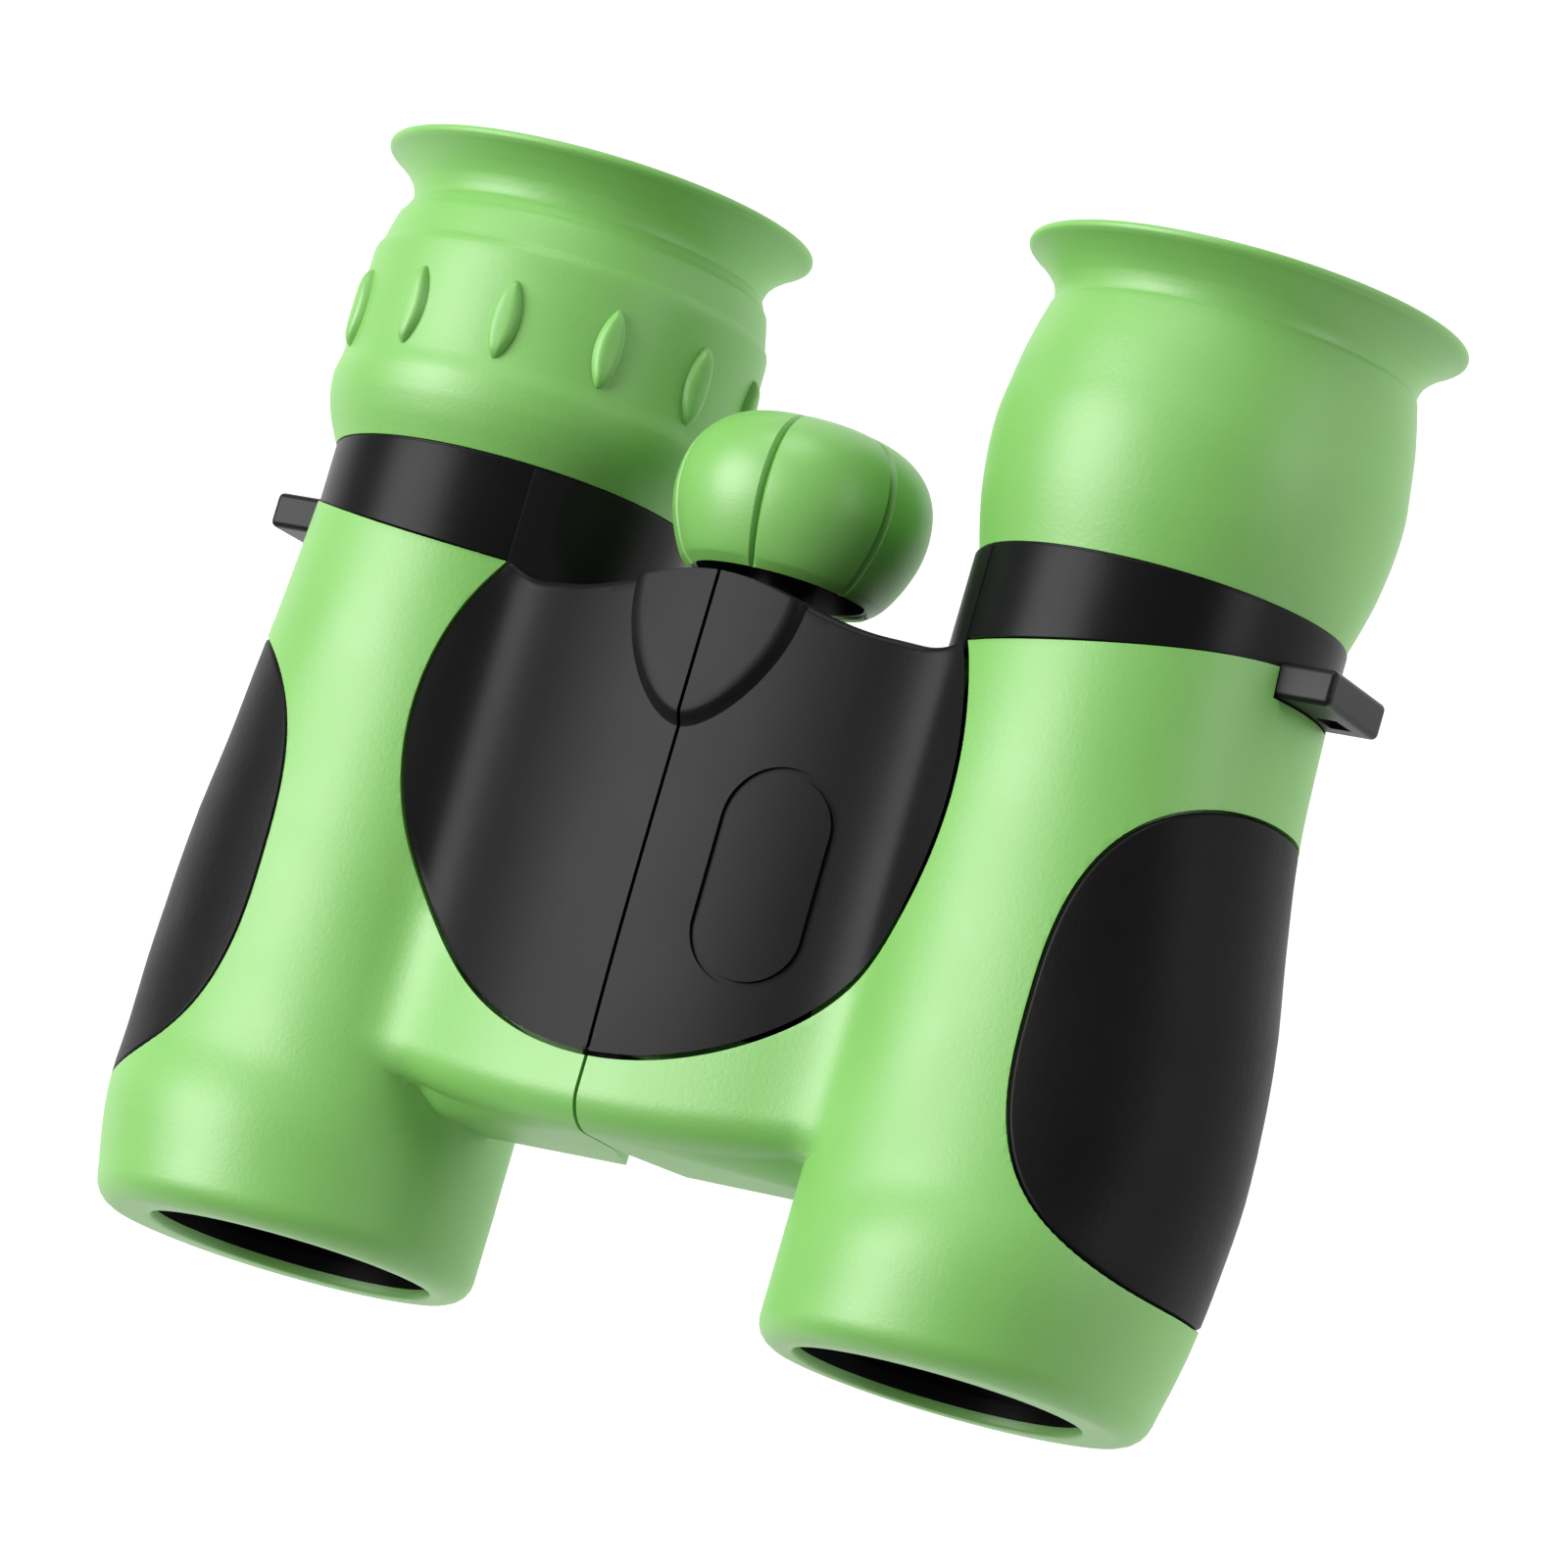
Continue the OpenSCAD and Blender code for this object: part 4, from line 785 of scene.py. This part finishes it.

# Focus knob: a green pumpkin-shaped wheel with six finger grooves, hollow in front. A black core sits
# in the hollow: its hub, on the end of the threaded shaft, runs in the hinge tube, and its black lining
# of the hollow's wall and floor is painted shade.
knob_outline = ((14.9, 8.15), (15.6, 8.85), (16.8, 9.6), (18.4, 10.32), (20.2, 10.84), (22, 11.02),
                (23.8, 10.85), (25.5, 10.28), (26.9, 9.28), (28, 7.82), (28.7, 6.05), (29.05, 3.92),
                (29.15, 1.6))
knob_hollow = ((19.5, 0), (19.5, 7.2), (15.3, 7.5), (14.98, 7.62))
knob_lip, knob_end_y = (14.84, 7.86, 0.4), 29.17
core_and_hollow_shade_outline = ((13.4, 0), (13.4, 2.85), (19.1, 3), (19.1, 6.9), (15.25, 7.3), (15.2, 7.56),
                (19.6, 7.3), (19.6, 0))
knob_grooves, knob_phase, groove_half_deg, groove_depth, lobe = 6, 12, 2.2, 0.55, 0.24
groove_steps = (0, 0.5, 1.1, 1.7, 2.2, 2.9, 4.5, 8, 12, 16.5, 21, 25.5, 30)
lobe_steps, lobe_deg = len(groove_steps) - 1, 360 / knob_grooves
knob_columns = knob_grooves * 2 * lobe_steps
groove_full_r = 9
knob_green = moulded("knob_green", green_light, green_dark, rough=(0.4, 0.48),
                     grain=2600, mottle=60, bump=0.2, gloss=0.75)
knob_rows, knob_run, knob_start = 40, 14.3, 0.12
knob_front_y, knob_rear_y = knob_outline[0][0], knob_outline[-1][0]
rows = [(y, r, 0) for y, r in knob_hollow] + [knob_lip]
for i in range(knob_rows + 1):
    turn = math.pi * (knob_start + (1 - knob_start) * i / knob_rows)
    y = min(max(knob_front_y + knob_run * (1 - math.cos(turn)) / 2, knob_front_y), knob_rear_y)
    rows.append((y, along(knob_outline, y)[0], 1))
rows.append((knob_end_y, 0, 0))
knob = spun(len(rows), knob_columns)
for vert in knob.verts:
    i, column = row_and_column(vert, knob_columns)
    sector, step = divmod(column, 2 * lobe_steps)
    if step <= lobe_steps:
        off = groove_steps[step]
    else:
        off = lobe_deg - groove_steps[2 * lobe_steps - step]
    near = min(off, lobe_deg - off)
    y, r, marked = rows[i]
    dip = groove_depth * max(1 - near / groove_half_deg, 0)
    swell = lobe * (math.sin(math.pi * near / lobe_deg) - 1)
    r += marked * min(r / groove_full_r, 1) * (swell - dip)
    turn = math.radians(knob_phase + lobe_deg * sector + off)
    vert.co = (max(r, 0) * math.sin(turn), y, hinge_z + max(r, 0) * math.cos(turn))
bmesh.ops.remove_doubles(knob, verts=knob.verts, dist=0.005)
finished("knob", knob, "focus_knob", "knob_green", knob_green, "focus_knob", crease=34)
# The core's black lining of the knob's front hollow is painted shade; its hub is the shaft's collar.
core_and_hollow_shade = turned(core_and_hollow_shade_outline, mid_z=hinge_z)
bmesh.ops.remove_doubles(core_and_hollow_shade, verts=core_and_hollow_shade.verts, dist=0.005)
finished("knob_core_and_hollow_shade", core_and_hollow_shade, "focus_knob", "frame_black", frame_black)

# Inside: matt black mouldings, coated lenses, glass prisms, a steel shaft and hinge tube, and the
# brass collar of the focus thread, seen through the objectives, the eyepieces and the fold seam.
inner_black = moulded("inner_black", (0.012, 0.012, 0.013), (0.007, 0.007, 0.008), rough=(0.6, 0.75),
                      grain=2000, mottle=90, bump=0.2)
steel = moulded("steel", (0.56, 0.56, 0.57), (0.46, 0.46, 0.47), rough=(0.25, 0.38),
                grain=1200, mottle=120, bump=0.08, metal=1.0)
brass = moulded("brass", (0.72, 0.53, 0.25), (0.6, 0.42, 0.18), rough=(0.28, 0.42),
                grain=1200, mottle=120, bump=0.08, metal=1.0)


def lens(name, tint, film):
    """Optical glass: clear, with a thin coloured anti-reflection film."""
    finish = bpy.data.materials.new(name)
    finish.use_nodes = True
    shader = finish.node_tree.nodes["Principled BSDF"]
    shader.inputs["Base Color"].default_value = (*tint, 1)
    shader.inputs["Roughness"].default_value = 0.02
    shader.inputs["Transmission Weight"].default_value = 1.0
    shader.inputs["IOR"].default_value = 1.52
    shader.inputs["Specular Tint"].default_value = (*film, 1)
    shader.inputs["Coat Weight"].default_value = 0.3
    shader.inputs["Coat Tint"].default_value = (*film, 1)
    return finish


glass = lens("glass", (0.95, 0.98, 0.96), (1, 1, 1))
coated_glass = lens("coated_glass", (0.86, 0.92, 0.9), (0.65, 0.6, 1))
inside = {"frame": frame_black, "prism_holder": inner_black, "objective_cell": inner_black,
          "objective_ring": inner_black, "eyepiece_sleeve": inner_black, "eyepiece_cell": inner_black,
          "lens_spacer": inner_black, "eyepiece_ring": inner_black, "penta_prism": glass,
          "roof_prism": glass, "field_lens": glass, "eye_lens": coated_glass,
          "objective_lens": coated_glass, "objective_flint": glass, "cover_screws": steel,
          "diopter_pin": steel, "hinge_tube": steel, "hinge_washers": inner_black, "front_pin": steel,
          "focus_shaft": steel, "shaft_clip": steel, "focus_collar": brass}
for name, node in frame["nodes"].items():
    finish = inside.get(name.removeprefix("left_").removeprefix("right_"))
    if finish:
        node.data.materials.clear()
        node.data.materials.append(finish)

# Studio: a plain white table, lit from within and low enough for the half that folds down, a large
# soft light high on the left of the picture, a fill, a top light, and a camera where the photograph
# was taken from.
fold_room = 0.024
photo_px = 1600
focal_px = 11507.3
camera_far = 0.942858
azimuth, elevation, roll = (math.radians(a) for a in (72.121, 56.672, -58.657))
centre_px = (-19.102, -2.534)
back = Vector((math.cos(elevation) * math.sin(azimuth), -math.cos(elevation) * math.cos(azimuth),
               math.sin(elevation)))
level = Vector((math.cos(azimuth), math.sin(azimuth), 0))
picture_right = math.cos(roll) * level + math.sin(roll) * back.cross(level)
picture_up = back.cross(picture_right)
camera = bpy.data.objects.new("camera", bpy.data.cameras.new("camera"))
camera.data.sensor_width = 36
camera.data.lens = camera.data.sensor_width * focal_px / photo_px
camera.data.shift_x = -centre_px[0] / photo_px
camera.data.shift_y = centre_px[1] / photo_px
camera.matrix_world = (Matrix.Translation(camera_far * back + Vector((0, 0, axis_z)))
                       @ Matrix((picture_right, picture_up, back)).transposed().to_4x4())
bpy.context.scene.collection.objects.link(camera)
bpy.context.scene.camera = camera

floor_mesh = bmesh.new()
bmesh.ops.create_circle(floor_mesh, cap_ends=True, segments=96, radius=2.5)
floor = bpy.data.objects.new("floor", bpy.data.meshes.new("floor"))
floor_mesh.to_mesh(floor.data)
floor_mesh.free()
floor.location.z = cad_box[0].z - fold_room
floor_white = bpy.data.materials.new("floor_white")
floor_white.use_nodes = True
floor_shader = floor_white.node_tree.nodes["Principled BSDF"]
floor_shader.inputs["Base Color"].default_value = (0.2, 0.2, 0.2, 1)
floor_shader.inputs["Roughness"].default_value = 0.9
floor_shader.inputs["Emission Color"].default_value = (1, 1, 1, 1)
floor_shader.inputs["Emission Strength"].default_value = 1.0
floor.data.materials.append(floor_white)
bpy.context.scene.collection.objects.link(floor)


def soft_light(name, towards, distance, size, power):
    light = bpy.data.objects.new(name, bpy.data.lights.new(name, "AREA"))
    light.data.shape = "DISK"
    light.data.size = size
    light.data.energy = power
    towards = towards.normalized()
    light.location = towards * distance
    light.rotation_euler = towards.to_track_quat("Z", "Y").to_euler()
    bpy.context.scene.collection.objects.link(light)


soft_light("key", back * 0.5 - picture_right * 0.95 + picture_up * 0.45,
           distance=1.5, size=1.2, power=32)
soft_light("fill", back * 0.6 + picture_right * 0.75 + picture_up * 0.15,
           distance=1.6, size=0.6, power=5)
soft_light("top", back * 0.3 + picture_up - picture_right * 0.1,
           distance=1.5, size=0.7, power=8)
sky = bpy.data.worlds.new("studio")
sky.use_nodes = True
sky.node_tree.nodes["Background"].inputs["Color"].default_value = (1, 1, 1, 1)
sky.node_tree.nodes["Background"].inputs["Strength"].default_value = 0.2
bpy.context.scene.world = sky
bpy.context.scene.view_settings.view_transform = "Standard"
